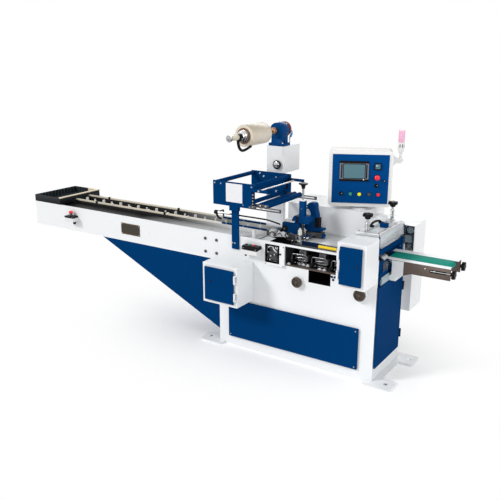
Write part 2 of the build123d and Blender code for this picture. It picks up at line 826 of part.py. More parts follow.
def conveyor_rollers():
    inner = CHAIN_R - CHAIN_T - FIT
    solid = Part()
    for x in (CHAIN_X0, CHAIN_X1):
        wheel = rod_y(inner, x, (LINE_Y - CHAIN_WIDTH / 2, LINE_Y + CHAIN_WIDTH / 2), CHAIN_Z)
        solid += wheel + rod_y(SPROCKET_SHAFT_R, x, (IN0, IN1), CHAIN_Z)
    for x in (BELT_X0, BELT_X1 - BELT_R):
        drum = rod_y(BELT_ROLLER_R - FIT, x, (LINE_Y - BELT_FRONT, LINE_Y + BELT_BACK), BELT_Z)
        solid += drum + rod_y(OUT_SHAFT_R, x, (LINE_Y - SIDE_FRONT, LINE_Y + SIDE_BACK), BELT_Z)
    return solid


def infeed_gusset():
    tip = (X0 - GUSSET_LENGTH, BZ0)
    foot = (X0, GUSSET_FOOT)
    side = (tip, (X0, BZ0), foot)
    solid = prism_y(side, (Y0, Y0 + SHEET)) + prism_y(side, (Y1 - SHEET, Y1))
    slope = (tip, (tip[0] + 3 * SHEET, BZ0), (X0, GUSSET_FOOT + 1.5 * SHEET), foot)
    return solid + prism_y(slope, (Y0, Y1))


def end_tray():
    x = (BX0, BX0 + TRAY_LENGTH)
    z = (WORK_HEIGHT, WORK_HEIGHT + TRAY_HEIGHT)
    solid = tray(x, (Y0, Y1), z, TRAY_WALL)
    step = (BODY_WIDTH - 2 * TRAY_WALL) / (RIB_COUNT + 1)
    for i in range(RIB_COUNT):
        y = Y0 + TRAY_WALL + (i + 1) * step
        rib_x = (BX0 + TRAY_WALL, BX0 + TRAY_WALL + RIB_T)
        solid += block(rib_x, (y - RIB_T / 2, y + RIB_T / 2), (z[0] + TRAY_WALL, z[1]))
    return solid


# Button stations
STOP_TOP = STOP_Z + STOP_HEIGHT
JOG_TOP = JOG_Z + JOG_HEIGHT


def button_stations():
    y = (Y0 - STATION_DEPTH, Y0)
    stop = block((STOP_X - STOP_WIDTH / 2, STOP_X + STOP_WIDTH / 2), y, (STOP_Z, STOP_TOP))
    jog = block((JOG_X - JOG_WIDTH / 2, JOG_X + JOG_WIDTH / 2), y, (JOG_Z, JOG_TOP))
    stop = fillet(stop.edges().filter_by(Axis.Y), STATION_CORNER)
    return stop + fillet(jog.edges().filter_by(Axis.Y), STATION_CORNER)


def station_buttons():
    y = Y0 - STATION_DEPTH / 2
    half = STOP_TOP + MUSHROOM_H / 2
    solid = rod_z(BUTTON_R, STOP_X, y, (STOP_TOP, half))
    solid += rod_z(MUSHROOM_R, STOP_X, y, (half, STOP_TOP + MUSHROOM_H))
    for side in (-1, 1):
        solid += rod_z(BUTTON_R, JOG_X + side * JOG_STEP / 2, y, (JOG_TOP, JOG_TOP + BUTTON_H))
    return solid


# Film frame
def film_frame():
    x = (FRAME_X0, FRAME_X1)
    z = (FRAME_Z, FRAME_TOP)
    front = block(x, (FRAME_Y0, FRAME_Y0 + FRAME_T), z)
    half = POST_WIDTH / 2
    cap_z = FRAME_Z - POST_CAP
    front += block((POST_X - half, POST_X + half), (Y0 - POST_T, Y0), (POST_Z, cap_z))
    cap_x = (POST_X - half - POST_CAP_LAP, POST_X + half + POST_CAP_LAP)
    front += block(cap_x, (FRAME_Y0, Y0), (cap_z, FRAME_Z))
    rear = block(x, (FRAME_Y1 - FRAME_T, FRAME_Y1), z)
    for side in (-1, 1):
        middle = COLUMN_X + side * COLUMN_WIDTH / 3
        rear += rod_y(STANDOFF_R, middle, (FRAME_Y1, COLUMN_Y), FRAME_Z + FRAME_HEIGHT / 2)
    return front + rear


FRAME_IN = (FRAME_Y0 + FRAME_T, FRAME_Y1 - FRAME_T)
UPPER_ARM_Z = FRAME_TOP - ARM_UPPER_DROP
LOWER_ARM_Z = FRAME_Z + ARM_LOWER_RISE


def film_tubes():
    solid = rod_y(TUBE_MID, FRAME_X0 + TUBE_LEFT_IN, FRAME_IN, FRAME_TOP - TUBE_MID)
    solid += rod_y(TUBE_BIG, FRAME_X1 - TUBE_TOP_IN, FRAME_IN, FRAME_TOP - TUBE_TOP_DROP)
    return solid + rod_y(TUBE_MID, FRAME_X1 - TUBE_LOW_IN, FRAME_IN, FRAME_Z + TUBE_LOW_RISE)


def roller_arms():
    x = (FRAME_X1 - ARM_LAP, FRAME_X1 + ARM_REACH)
    solid = Part()
    upper = (UPPER_ARM_Z - ARM_H / 2, UPPER_ARM_Z + ARM_H / 2)
    lower = (LOWER_ARM_Z - ARM_H / 2, LOWER_ARM_Z + ARM_H / 2)
    solid += block(x, (FRAME_IN[0], FRAME_IN[0] + ARM_T), lower)
    solid += block(x, (FRAME_IN[1] - ARM_T, FRAME_IN[1]), lower)
    right = FRAME_X1 + SLOT_BAR_REACH
    bar_z = (FRAME_Z, FRAME_Z + SLOT_BAR_H)
    middle = FRAME_Z + SLOT_BAR_H / 2
    for y in ((FRAME_Y0 - ARM_T, FRAME_Y0), (FRAME_Y1, FRAME_Y1 + ARM_T)):
        solid += block(x, y, upper)
        bar = block((FRAME_X1 - ARM_LAP, right), y, bar_z)
        slot_x = (FRAME_X1 + SLOT_INSET, right - SLOT_INSET)
        solid += bar - block(slot_x, y, (middle - SLOT_H / 2, middle + SLOT_H / 2))
    return solid


def guide_rollers():
    span = (FRAME_IN[0] + ARM_T, FRAME_IN[1] - ARM_T)
    right = FRAME_X1 + ARM_REACH - ROLLER_R - ROLLER_INSET
    solid = rod_y(ROLLER_R, right, span, LOWER_ARM_Z)
    solid += rod_y(ROLLER_R, right - ROLLER_STEP, span, LOWER_ARM_Z)
    return solid + rod_y(THIN_ROD_R, FRAME_X1 + THIN_ROD_OUT, (FRAME_Y0, FRAME_Y1), UPPER_ARM_Z)


# Reel column and unwind
COLUMN_SPAN = (COLUMN_X - COLUMN_WIDTH / 2, COLUMN_X + COLUMN_WIDTH / 2)


def reel_column():
    solid = block(COLUMN_SPAN, (COLUMN_Y, COLUMN_Y + COLUMN_T), (COLUMN_MOUNT_Z, HEAD_BOX_Z))
    solid += block(COLUMN_SPAN, (Y1, COLUMN_Y), (COLUMN_MOUNT_Z, COLUMN_MOUNT_Z + COLUMN_MOUNT_H))
    y = (COLUMN_Y, COLUMN_Y + HEAD_BOX_D)
    head = block(COLUMN_SPAN, y, (HEAD_BOX_Z, HEAD_BOX_TOP))
    inner_x = (COLUMN_SPAN[0] + SHEET, COLUMN_SPAN[1] - SHEET)
    head -= block(inner_x, (y[0] + SHEET, y[1] - SHEET), (HEAD_BOX_Z, HEAD_BOX_TOP - SHEET))
    solid += head
    return solid - rod_y(ADJUST_SHAFT_R + FIT, ADJUST_X, (COLUMN_Y, COLUMN_Y + SHEET), ADJUST_Z)


def bearing_head():
    y = (HEAD_Y, HEAD_Y + HEAD_LENGTH)
    base_x = (COLUMN_X - HEAD_BASE_W / 2, COLUMN_X + HEAD_BASE_W / 2)
    solid = block(base_x, (COLUMN_Y, COLUMN_Y + HEAD_BASE_D), (HEAD_BOX_TOP, HEAD_BOX_TOP + HEAD_BASE_H))
    neck_x = (COLUMN_X - HEAD_NECK / 2, COLUMN_X + HEAD_NECK / 2)
    solid += block(neck_x, y, (HEAD_BOX_TOP + HEAD_BASE_H, REEL_Z))
    solid += rod_y(HEAD_R, COLUMN_X, y, REEL_Z)
    return solid - rod_y(REEL_SHAFT_R + FIT, COLUMN_X, y, REEL_Z)


BAND_Y = (DRUM_Y + (DRUM_T - BAND_WIDTH) / 2, DRUM_Y + (DRUM_T + BAND_WIDTH) / 2)
BAND_R = DRUM_R + RUN_GAP


def brake_band():
    ring = rod_y(BAND_R + BAND_T, COLUMN_X, BAND_Y, REEL_Z) - rod_y(BAND_R, COLUMN_X, BAND_Y, REEL_Z)
    foot_x = (COLUMN_X - BAND_FOOT / 2, COLUMN_X + BAND_FOOT / 2)
    foot = block(foot_x, BAND_Y, (HEAD_BOX_TOP, REEL_Z - BAND_R - BAND_T / 2))
    return ring + (foot - rod_y(BAND_R, COLUMN_X, BAND_Y, REEL_Z))


def tension_knob():
    front = COLUMN_Y - RUN_GAP
    solid = rod_y(ADJUST_R, ADJUST_X, (front - ADJUST_T, front), ADJUST_Z)
    return solid + rod_y(ADJUST_SHAFT_R, ADJUST_X, (front, COLUMN_Y + WALL), ADJUST_Z)


FILM_Y = (REEL_FRONT, REEL_FRONT + FILM_WIDTH)


def reel_shaft():
    solid = rod_y(REEL_SHAFT_R, COLUMN_X, (REEL_FRONT - SHAFT_NOSE, DRUM_Y + DRUM_T), REEL_Z)
    solid += rod_y(CORE_R, COLUMN_X, FILM_Y, REEL_Z)
    solid += rod_y(REEL_DISC_R, COLUMN_X, (FILM_Y[0] - REEL_DISC_T, FILM_Y[0]), REEL_Z)
    solid += rod_y(REEL_DISC_R, COLUMN_X, (FILM_Y[1], FILM_Y[1] + REEL_DISC_T), REEL_Z)
    tip = FILM_Y[0] - REEL_DISC_T - CONE_LENGTH / 2
    cone = Cone(CONE_R, REEL_SHAFT_R, CONE_LENGTH)
    solid += Pos(COLUMN_X, tip, REEL_Z) * Rot(90, 0, 0) * cone
    return solid + rod_y(DRUM_R, COLUMN_X, (DRUM_Y, DRUM_Y + DRUM_T), REEL_Z)


def film_roll():
    solid = rod_y(FILM_R, COLUMN_X, FILM_Y, REEL_Z)
    return solid - rod_y(CORE_R + FIT, COLUMN_X, FILM_Y, REEL_Z)


def reel_lever():
    back = FILM_Y[0] - REEL_DISC_T - CONE_LENGTH
    y = (back - LEVER_HUB_T, back)
    solid = rod_y(LEVER_HUB_R, COLUMN_X, y, REEL_Z)
    bar_x = (COLUMN_X - LEVER_BAR / 2, COLUMN_X + LEVER_BAR / 2)
    bar_y = (y[0], y[0] + LEVER_BAR)
    solid += block(bar_x, bar_y, (REEL_Z - LEVER_ARM, REEL_Z))
    grip_x = (COLUMN_X - LEVER_BAR / 2, COLUMN_X + LEVER_GRIP)
    solid += block(grip_x, bar_y, (REEL_Z - LEVER_ARM, REEL_Z - LEVER_ARM + LEVER_BAR))
    return solid - rod_y(REEL_SHAFT_R + FIT, COLUMN_X, y, REEL_Z)


# Rear cabinet with the operator panel's swivel, and the drive housing
def rear_cabinet():
    x = (CAB_X0, CAB_X1)
    y = (Y1, Y1 + CAB_DEPTH)
    solid = block(x, y, (CAB_Z, CAB_TOP))
    solid -= block((x[0] + SHEET, x[1] - SHEET), (y[0] + SHEET, y[1] - SHEET), (CAB_Z, CAB_TOP - SHEET))
    neck = CAB_TOP + SWIVEL_FLANGE_T + SWIVEL_NECK_H
    solid += rod_z(SWIVEL_FLANGE_R, PANEL_X, PANEL_Y, (CAB_TOP, CAB_TOP + SWIVEL_FLANGE_T))
    solid += rod_z(SWIVEL_NECK_R, PANEL_X, PANEL_Y, (CAB_TOP + SWIVEL_FLANGE_T, neck))
    return solid + rod_z(SWIVEL_PIN_R, PANEL_X, PANEL_Y, (neck, neck + SWIVEL_PIN_H))


def drive_housing():
    x = (CAB_X1, DRIVE_X1)
    y = (Y1, Y1 + DRIVE_DEPTH)
    solid = block(x, y, (CAB_Z, DRIVE_TOP))
    solid -= block((x[0] + SHEET, x[1] - SHEET), (y[0] + SHEET, y[1] - SHEET), (CAB_Z, DRIVE_TOP - SHEET))
    mouth_x = (x[1] - DRIVE_RIM - DRIVE_OPEN, x[1] - DRIVE_RIM)
    return solid - block(mouth_x, (y[0], y[0] + SHEET), (DRIVE_OPEN_Z, DRIVE_TOP - DRIVE_RIM))


# Operator panel
PANEL_PLACE = Pos(PANEL_X, PANEL_Y, 0) * Rot(0, 0, PANEL_YAW)
PANEL_HALF = PANEL_WIDTH / 2
PANEL_FRONT = -PANEL_DEPTH / 2
PANEL_TOP = PANEL_Z + PANEL_BOX_H
FACE_X = (-PANEL_HALF + PANEL_RIM, PANEL_HALF - PANEL_RIM)
FACE_Z = (PANEL_Z + PANEL_RIM, PANEL_TOP - PANEL_RIM)
FACE_Y = (PANEL_FRONT - FACE_T, PANEL_FRONT)
SIGNAL_X = PANEL_HALF + SIGNAL_OUT
SIGNAL_Y = PANEL_FRONT + SIGNAL_BACK


def hmi_box():
    solid = block((-PANEL_HALF, PANEL_HALF), (PANEL_FRONT, -PANEL_FRONT), (PANEL_Z, PANEL_TOP))
    solid = fillet(solid.edges().filter_by(Axis.Y), PANEL_CORNER)
    inner_x = (-PANEL_HALF + SHEET, PANEL_HALF - SHEET)
    inner_z = (PANEL_Z + SHEET, PANEL_TOP - SHEET)
    hollow = block(inner_x, (PANEL_FRONT + SHEET, -PANEL_FRONT - SHEET), inner_z)
    solid -= fillet(hollow.edges().filter_by(Axis.Y), PANEL_CORNER - SHEET)
    mouth_x = (FACE_X[0] + PANEL_LAP, FACE_X[1] - PANEL_LAP)
    mouth_z = (FACE_Z[0] + PANEL_LAP, FACE_Z[1] - PANEL_LAP)
    solid -= block(mouth_x, (PANEL_FRONT, PANEL_FRONT + SHEET), mouth_z)
    solid -= rod_z(SWIVEL_PIN_R + FIT, 0, 0, (PANEL_Z, PANEL_Z + SHEET))
    lug = (SIGNAL_Y - KNUCKLE_T, SIGNAL_Y)
    solid += block((PANEL_HALF, SIGNAL_X), lug, (SIGNAL_Z - KNUCKLE_R, SIGNAL_Z + KNUCKLE_R))
    solid += rod_y(KNUCKLE_R, SIGNAL_X, lug, SIGNAL_Z)
    pin = (SIGNAL_Y - KNUCKLE_T, SIGNAL_Y + 2 * KNUCKLE_T)
    solid += rod_y(KNUCKLE_PIN_R, SIGNAL_X, pin, SIGNAL_Z)
    return PANEL_PLACE * solid


def hmi_panel():
    return PANEL_PLACE * block(FACE_X, FACE_Y, FACE_Z)


def hmi_controls():
    top = FACE_Z[1] - SCREEN_DROP
    left = FACE_X[0] + SCREEN_LEFT
    solid = block((left, left + SCREEN_W), (FACE_Y[0] - SCREEN_T, FACE_Y[0]), (top - SCREEN_H, top))
    for i in range(KEY_COUNT):
        x = (i - (KEY_COUNT - 1) / 2) * KEY_STEP
        solid += rod_y(KEY_R, x, (FACE_Y[0] - KEY_T, FACE_Y[0]), FACE_Z[0] + KEY_RISE)
    for rise, radius in SIDE_KEYS:
        x = FACE_X[1] - SIDE_KEY_INSET
        solid += rod_y(radius, x, (FACE_Y[0] - KEY_T, FACE_Y[0]), FACE_Z[0] + rise)
    return PANEL_PLACE * solid


def signal_base():
    y = (SIGNAL_Y + EAR_GAP, SIGNAL_Y + EAR_GAP + KNUCKLE_T)
    middle = (y[0] + y[1]) / 2
    base = (SIGNAL_Z + SIGNAL_BASE_Z, SIGNAL_Z + SIGNAL_BASE_Z + SIGNAL_BASE_H)
    solid = rod_y(KNUCKLE_R, SIGNAL_X, y, SIGNAL_Z)
    stem_z = SIGNAL_Z + KNUCKLE_R + RUN_GAP
    neck_x = (SIGNAL_X - KNUCKLE_R * 0.6, SIGNAL_X + KNUCKLE_R * 0.6)
    solid += block(neck_x, y, (SIGNAL_Z, stem_z))
    solid += rod_z(SIGNAL_STEM_R, SIGNAL_X, middle, (stem_z, base[0]))
    solid += rod_z(SIGNAL_BASE_R, SIGNAL_X, middle, base)
    return PANEL_PLACE * (solid - rod_y(KNUCKLE_PIN_R + FIT, SIGNAL_X, y, SIGNAL_Z))


def signal_lens():
    low = SIGNAL_Z + SIGNAL_BASE_Z + SIGNAL_BASE_H
    middle = SIGNAL_Y + EAR_GAP + KNUCKLE_T / 2
    return PANEL_PLACE * rod_z(LENS_R, SIGNAL_X, middle, (low, low + LENS_H))


# Sealing jaws
KNOB_YS = (IN0 + JAW_PLATE / 2, IN1 - JAW_PLATE / 2)


def jaw_frame():
    x = (JAW_X - JAW_LEFT, JAW_X + JAW_RIGHT)
    solid = block(x, (IN0, IN0 + JAW_PLATE), (JAW_Z, JAW_TOP))
    solid += block(x, (IN1 - JAW_PLATE, IN1), (JAW_Z, JAW_TOP))
    bridge_x = (JAW_X - BRIDGE_WIDTH / 2, JAW_X + BRIDGE_WIDTH / 2)
    top = JAW_TOP - BRIDGE_DROP
    return solid + block(bridge_x, (IN0 + JAW_PLATE, IN1 - JAW_PLATE), (top - BRIDGE_T, top))


def seal_jaws():
    solid = Part()
    y = (LINE_Y - JAW_LENGTH / 2, LINE_Y + JAW_LENGTH / 2)
    for side in (-1, 1):
        z = SEAL_PLANE + side * JAW_OFFSET
        solid += rod_y(JAW_SHAFT_R, JAW_X, (IN0 + JAW_PLATE, IN1 - JAW_PLATE), z)
        solid += rod_y(JAW_R, JAW_X, y, z)
        bar_x = (JAW_X - JAW_BAR / 2, JAW_X + JAW_BAR / 2)
        solid += block(bar_x, y, (z - JAW_TIP, z + JAW_TIP))
    return solid


def clear_guard():
    x = (JAW_X - JAW_LEFT, JAW_X + JAW_RIGHT - CLEAR_TAIL)
    low = JAW_TOP + CLEAR_SKIRT
    top = low + CLEAR_T
    solid = block(x, (IN0, IN1), (low, top))
    solid += block(x, (IN0, IN0 + CLEAR_T), (JAW_TOP, low)) + block(x, (IN1 - CLEAR_T, IN1), (JAW_TOP, low))
    foot = x[1] + CLEAR_SLANT
    panel = ((x[1] - CLEAR_T, top), (x[1], top), (foot, top - CLEAR_FALL), (foot - CLEAR_T, top - CLEAR_FALL))
    solid += prism_y(panel, (IN0 + JAW_PLATE, IN1 - JAW_PLATE))
    for side in KNOB_YS:
        solid -= rod_z(KNOB_STEM_R + FIT, JAW_X, side, (JAW_TOP, top))
    return solid


def adjuster_knobs():
    solid = Part()
    knob = star_knob(KNOB_R, KNOB_H, KNOB_NECK_R, KNOB_NECK_H)
    for y in KNOB_YS:
        solid += rod_z(KNOB_STEM_R, JAW_X, y, (JAW_TOP, JAW_TOP + KNOB_LIFT))
        solid += Pos(JAW_X, y, JAW_TOP + KNOB_LIFT) * knob
    low = CODER_POST_TOP + CODER_KNOB_LIFT
    solid += rod_z(KNOB_STEM_R, CODER_X, LINE_Y, (CODER_POST_TOP, low))
    solid += rod_z(CODER_NECK_R, CODER_X, LINE_Y, (low, low + CODER_NECK_H))
    solid += rod_z(CODER_KNOB_R, CODER_X, LINE_Y, (low + CODER_NECK_H, low + CODER_NECK_H + CODER_KNOB_H))
    for y in (LINE_Y - SIDE_FRONT - SIDE_T / 2, LINE_Y + SIDE_BACK + SIDE_T / 2):
        z = (SIDE_Z + SIDE_TOP) / 2
        solid += rod_x(SIDE_T / 2, (OUT_X1, OUT_X1 + TENSION_STEM), y, z)
        solid += Pos(OUT_X1 + TENSION_STEM, y, z) * Rot(0, 90, 0) * star_disc(TENSION_R, TENSION_H)
    return solid


# Bed, fin seal and gear window
def bed_plate():
    solid = block((DECK_END + RUN_GAP, BED_END), (BED_FRONT, IN1), (BED_TOP - BED_T, BED_TOP))
    apron_x = (SEAL_LEFT, BED_END)
    under = BED_TOP - BED_T
    return solid + block(apron_x, (BED_FRONT, BED_FRONT + BED_T), (under - BED_APRON, under))


def inner_panels():
    x = (SEAL_LEFT, SEAL_RIGHT)
    solid = block(x, (FIN_Y, FIN_Y + FIN_T), (SCRAP_Z, FIN_TOP))
    solid += block(x, (IN0, FIN_Y), (SEAL_Z - SHELF_T, SEAL_Z))
    case_x = (GEAR_X - SHEET, GEAR_X + GEAR_WIDTH + SHEET)
    case_z = (GEAR_Z - SHEET, GEAR_Z + GEAR_HEIGHT + SHEET)
    case = block(case_x, (IN0, IN0 + CASE_DEPTH), case_z)
    hollow_x = (GEAR_X, GEAR_X + GEAR_WIDTH)
    case -= block(hollow_x, (IN0, IN0 + CASE_DEPTH - SHEET), (GEAR_Z, GEAR_Z + GEAR_HEIGHT))
    return solid + case


def fin_seal_units():
    solid = Part()
    for share in FIN_SHARES:
        x = SEAL_LEFT + share * SEAL_WIDTH
        span = (x - FIN_WIDTH / 2, x + FIN_WIDTH / 2)
        solid += block(span, (FIN_Y - FIN_DEPTH, FIN_Y), (FIN_Z, FIN_Z + FIN_HEIGHT))
        face = FIN_Y - FIN_DEPTH
        solid += rod_y(FIN_KNOB_R, x, (face - FIN_KNOB_L, face), FIN_Z + FIN_HEIGHT / 2)
    return solid


def window_cover():
    x = (GEAR_X - COVER_LEFT, GEAR_X + GEAR_WIDTH + COVER_RIGHT)
    z = (GEAR_Z - COVER_BELOW, GEAR_Z + GEAR_HEIGHT + COVER_ABOVE)
    solid = block(x, (Y0 - COVER_T, Y0), z)
    solid = fillet(solid.edges().filter_by(Axis.Y), COVER_CORNER)
    hole = (GEAR_X, GEAR_X + GEAR_WIDTH)
    return solid - block(hole, (Y0 - COVER_T, Y0), (GEAR_Z, GEAR_Z + GEAR_HEIGHT))


# Film former and coding unit
def film_former():
    x = (FORMER_X0, FORMER_X0 + FORMER_LENGTH)
    half = FORMER_WIDTH / 2
    solid = prism_x(house(half, BED_TOP, FORMER_EAVE, FORMER_RIDGE), x)
    inner = house(half - FORMER_T, BED_TOP, FORMER_EAVE - FORMER_T, FORMER_RIDGE - FORMER_T)
    solid -= prism_x(inner, x)
    tail = (x[1], x[1] + FORMER_TAIL)
    for side in (-1, 1):
        y = sorted((LINE_Y + side * half, LINE_Y + side * (half - FORMER_T)))
        solid += block(tail, y, (BED_TOP, BED_TOP + FORMER_LOW))
    return solid


def coder_unit():
    arm_x = (CODER_X - CODER_ARM_LEFT, CODER_X + CODER_ARM_RIGHT)
    arm_top = CODER_ARM_Z + CODER_ARM_H
    back = LINE_Y + CODER_BACK
    solid = block(arm_x, (LINE_Y - CODER_ARM_FRONT, back), (CODER_ARM_Z, arm_top))
    half = CODER_POST / 2
    post_x = (CODER_X - half, CODER_X + half)
    solid += block(post_x, (LINE_Y - half, LINE_Y + half), (arm_top, CODER_POST_TOP))
    left = CODER_X - CODER_HEAD_LEFT
    head_top = CODER_ARM_Z + CODER_HEAD_LAP
    head_y = (LINE_Y - CODER_HEAD_W / 2, LINE_Y + CODER_HEAD_W / 2)
    head = block((left, left + CODER_HEAD_LENGTH), head_y, (head_top - CODER_HEAD_H, head_top))
    solid += fillet(head.edges().filter_by(Axis.Y), CODER_CORNER)
    side_y = (back, back + CODER_THICK)
    lever_x = (CODER_X + LEVER_LEFT, CODER_X + LEVER_LEFT + LEVER_W)
    lever_top = WORK_HEIGHT + LEVER_RISE
    solid += block(lever_x, side_y, (BED_TOP, lever_top))
    hook = block((lever_x[0] - LEVER_HOOK, lever_x[1]), side_y, (lever_top - LEVER_HOOK_H, lever_top))
    solid += fillet(hook.edges().filter_by(Axis.Y), CODER_CORNER)
    pad_z = WORK_HEIGHT + LEVER_PAD_Z
    solid += block((lever_x[1], lever_x[1] + LEVER_PAD), side_y, (pad_z, pad_z + LEVER_PAD_H))
    foot_x = CODER_X + CODER_FOOT_LEFT
    return solid + block((foot_x, foot_x + CODER_FOOT), side_y, (BED_TOP, BED_TOP + CODER_FOOT_H))


# Outfeed conveyor
def outfeed_frame():
    left = OUT_X0
    start = left + SIDE_START
    profile = (
        (left, SIDE_TOP),
        (OUT_X1, SIDE_TOP),
        (OUT_X1, SIDE_Z),
        (left + SIDE_CUT, SIDE_Z),
        (start, SIDE_Z - SIDE_FALL),
        (start, SIDE_TOP - SIDE_NOSE),
        (left, SIDE_TOP - SIDE_NOSE),
    )
    solid = Part()
    for side, plate, belt in ((-1, SIDE_FRONT, BELT_FRONT), (1, SIDE_BACK, BELT_BACK)):
        y = sorted((LINE_Y + side * plate, LINE_Y + side * (plate + SIDE_T)))
        solid += prism_y(profile, y)
        rail = sorted((LINE_Y + side * (plate + SIDE_T), LINE_Y + side * (belt + SIDE_GAP)))
        solid += block((left, OUT_X1), rail, (SIDE_TOP - SIDE_T, SIDE_TOP))
    cross_x = (BELT_X0 + BELT_R + RUN_GAP, BELT_X1 - 2 * BELT_R - RUN_GAP)
    cross_y = (LINE_Y - SIDE_FRONT, LINE_Y + SIDE_BACK)
    solid += block(cross_x, cross_y, (BELT_Z - CROSS_T / 2, BELT_Z + CROSS_T / 2))
    solid += block((X1 - WALL, X1), cross_y, (END_TOP, SIDE_LOW))
    return solid + block((X1 - WALL, start + SIDE_SHELF), cross_y, (SIDE_LOW, SIDE_LOW + SIDE_SHELF_H))


def outfeed_belt():
    y = (LINE_Y - BELT_FRONT, LINE_Y + BELT_BACK)
    return loop_y((BELT_X0, BELT_X1 - BELT_R), BELT_Z, BELT_R, BELT_T, y)


# Handwheels
def handwheel(index):
    x = WHEEL_XS[index]
    face = Y0 - WHEEL_BOSS_T - RUN_GAP
    solid = rod_y(WHEEL_RS[index], x, (face - WHEEL_T, face), WHEEL_Z)
    solid = chamfer(solid.edges(), WHEEL_T / 6)
    return solid + rod_y(WHEEL_SHAFT_R, x, (face, Y0 + WHEEL_TAIL), WHEEL_Z)


def handwheel_left():
    return handwheel(0)


def handwheel_right():
    return handwheel(1)


NODES = (
    base_plate,
    front_plate,
    rear_plate,
    end_plates,
    lower_panels,
    end_door,
    door_hinges,
    box_hinges,
    control_box,
    control_box_door,
    jaw_guard,
    jaw_guard_door,
    infeed_side_plates,
    infeed_floor,
    infeed_deck,
    product_guides,
    guide_bars,
    infeed_chain,
    chain_lugs,
    conveyor_rollers,
    infeed_gusset,
    end_tray,
    button_stations,
    station_buttons,
    film_frame,
    film_tubes,
    roller_arms,
    guide_rollers,
    reel_column,
    bearing_head,
    brake_band,
    tension_knob,
    reel_shaft,
    film_roll,
    reel_lever,
    rear_cabinet,
    drive_housing,
    hmi_box,
    hmi_panel,
    hmi_controls,
    signal_base,
    signal_lens,
    jaw_frame,
    seal_jaws,
    clear_guard,
    adjuster_knobs,
    bed_plate,
    inner_panels,
    fin_seal_units,
    window_cover,
    film_former,
    coder_unit,
    outfeed_frame,
    outfeed_belt,
    handwheel_left,
    handwheel_right,
)

os.makedirs("parts", exist_ok=True)
for make in NODES:
    export_step(make(), "parts/" + make.__name__ + ".step")
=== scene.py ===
import json
import math
from itertools import product

import bmesh
import bpy
from mathutils import Matrix, Vector


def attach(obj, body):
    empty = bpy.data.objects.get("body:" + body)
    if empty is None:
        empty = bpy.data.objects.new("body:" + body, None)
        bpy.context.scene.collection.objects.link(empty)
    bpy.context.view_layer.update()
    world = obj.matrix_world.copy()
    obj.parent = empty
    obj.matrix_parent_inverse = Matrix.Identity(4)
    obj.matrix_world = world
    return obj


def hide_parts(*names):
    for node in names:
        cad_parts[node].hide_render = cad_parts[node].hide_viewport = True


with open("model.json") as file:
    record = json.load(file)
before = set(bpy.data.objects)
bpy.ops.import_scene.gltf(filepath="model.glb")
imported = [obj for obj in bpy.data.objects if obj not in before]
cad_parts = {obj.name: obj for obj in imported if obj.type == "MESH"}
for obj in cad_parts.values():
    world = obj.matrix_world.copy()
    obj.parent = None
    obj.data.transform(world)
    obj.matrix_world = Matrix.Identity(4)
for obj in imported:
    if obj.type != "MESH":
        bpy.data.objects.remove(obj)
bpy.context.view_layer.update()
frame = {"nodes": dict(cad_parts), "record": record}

NODES = frame["nodes"]
MM = 0.001
X = Vector((1, 0, 0))
Y = Vector((0, 1, 0))
Z = Vector((0, 0, 1))

# Camera, in metres and degrees, for a square picture
CAMERA_AT = (2.1937, -4.1231, 2.1794)
CAMERA_TURN = 33.355
CAMERA_DOWN = 16.537
CAMERA_LENS = 47.22
CAMERA_SENSOR = 36.0


# Materials
BROAD_GRAIN = 4.0
ROUGH_SPREAD = 0.08
COAT_ROUGH = 0.12


def node(tree, kind, values, **settings):
    """A new shader node; a value that is a socket is linked to the named input, any other is set on it."""
    made = tree.nodes.new("ShaderNode" + kind)
    for name, value in settings.items():
        setattr(made, name, value)
    fill(tree, made, values)
    return made


def fill(tree, made, values):
    for name, value in values.items():
        if isinstance(value, bpy.types.NodeSocket):
            tree.links.new(value, made.inputs[name])
        else:
            made.inputs[name].default_value = value


def material(
    name, color, rough=0.5, metal=0.0, vary=0.06, grain=40.0, bump=0.0, coat=0.0, stretch=None, wear=0.0, shine=0.5
):
    """A shader whose colour, roughness and surface wander with fine and broad noise in object space."""
    mat = bpy.data.materials.new(name)
    mat.use_nodes = True
    tree = mat.node_tree
    place = node(tree, "TexCoord", {}).outputs["Object"]
    spot = place
    if stretch:
        spot = node(tree, "Mapping", {"Vector": place, "Scale": stretch}).outputs["Vector"]
    fine = node(tree, "TexNoise", {"Vector": spot, "Scale": grain, "Detail": 6.0}).outputs["Fac"]
    broad = node(tree, "TexNoise", {"Vector": place, "Scale": BROAD_GRAIN, "Detail": 8.0}).outputs["Fac"]
    both = node(tree, "Math", {0: fine, 1: broad}, operation="ADD").outputs["Value"]
    half = node(tree, "Math", {0: both, 1: 0.5}, operation="MULTIPLY").outputs["Value"]
    dark = (*[c * (1 - vary) for c in color], 1)
    light = (*[min(1.0, c * (1 + vary)) for c in color], 1)
    tint = node(tree, "Mix", {"Factor": half, "A": dark, "B": light}, data_type="RGBA")
    spread = ROUGH_SPREAD + wear
    ends = {"To Min": max(0.02, rough - spread), "To Max": min(1.0, rough + spread)}
    gloss = node(tree, "MapRange", {"Value": broad, "From Min": 0.3, "From Max": 0.7, **ends})
    shader = tree.nodes["Principled BSDF"]
    fill(tree, shader, {"Base Color": tint.outputs["Result"], "Roughness": gloss.outputs["Result"], "Metallic": metal})
    fill(tree, shader, {"Specular IOR Level": shine, "Coat Weight": coat, "Coat Roughness": COAT_ROUGH})
    if bump:
        relief = node(tree, "Bump", {"Strength": bump, "Distance": MM, "Height": fine})
        fill(tree, shader, {"Normal": relief.outputs["Normal"]})
    return mat


def coordinate(mat, kind):
    return next(n for n in mat.node_tree.nodes if n.bl_idname == "ShaderNodeTexCoord").outputs[kind]


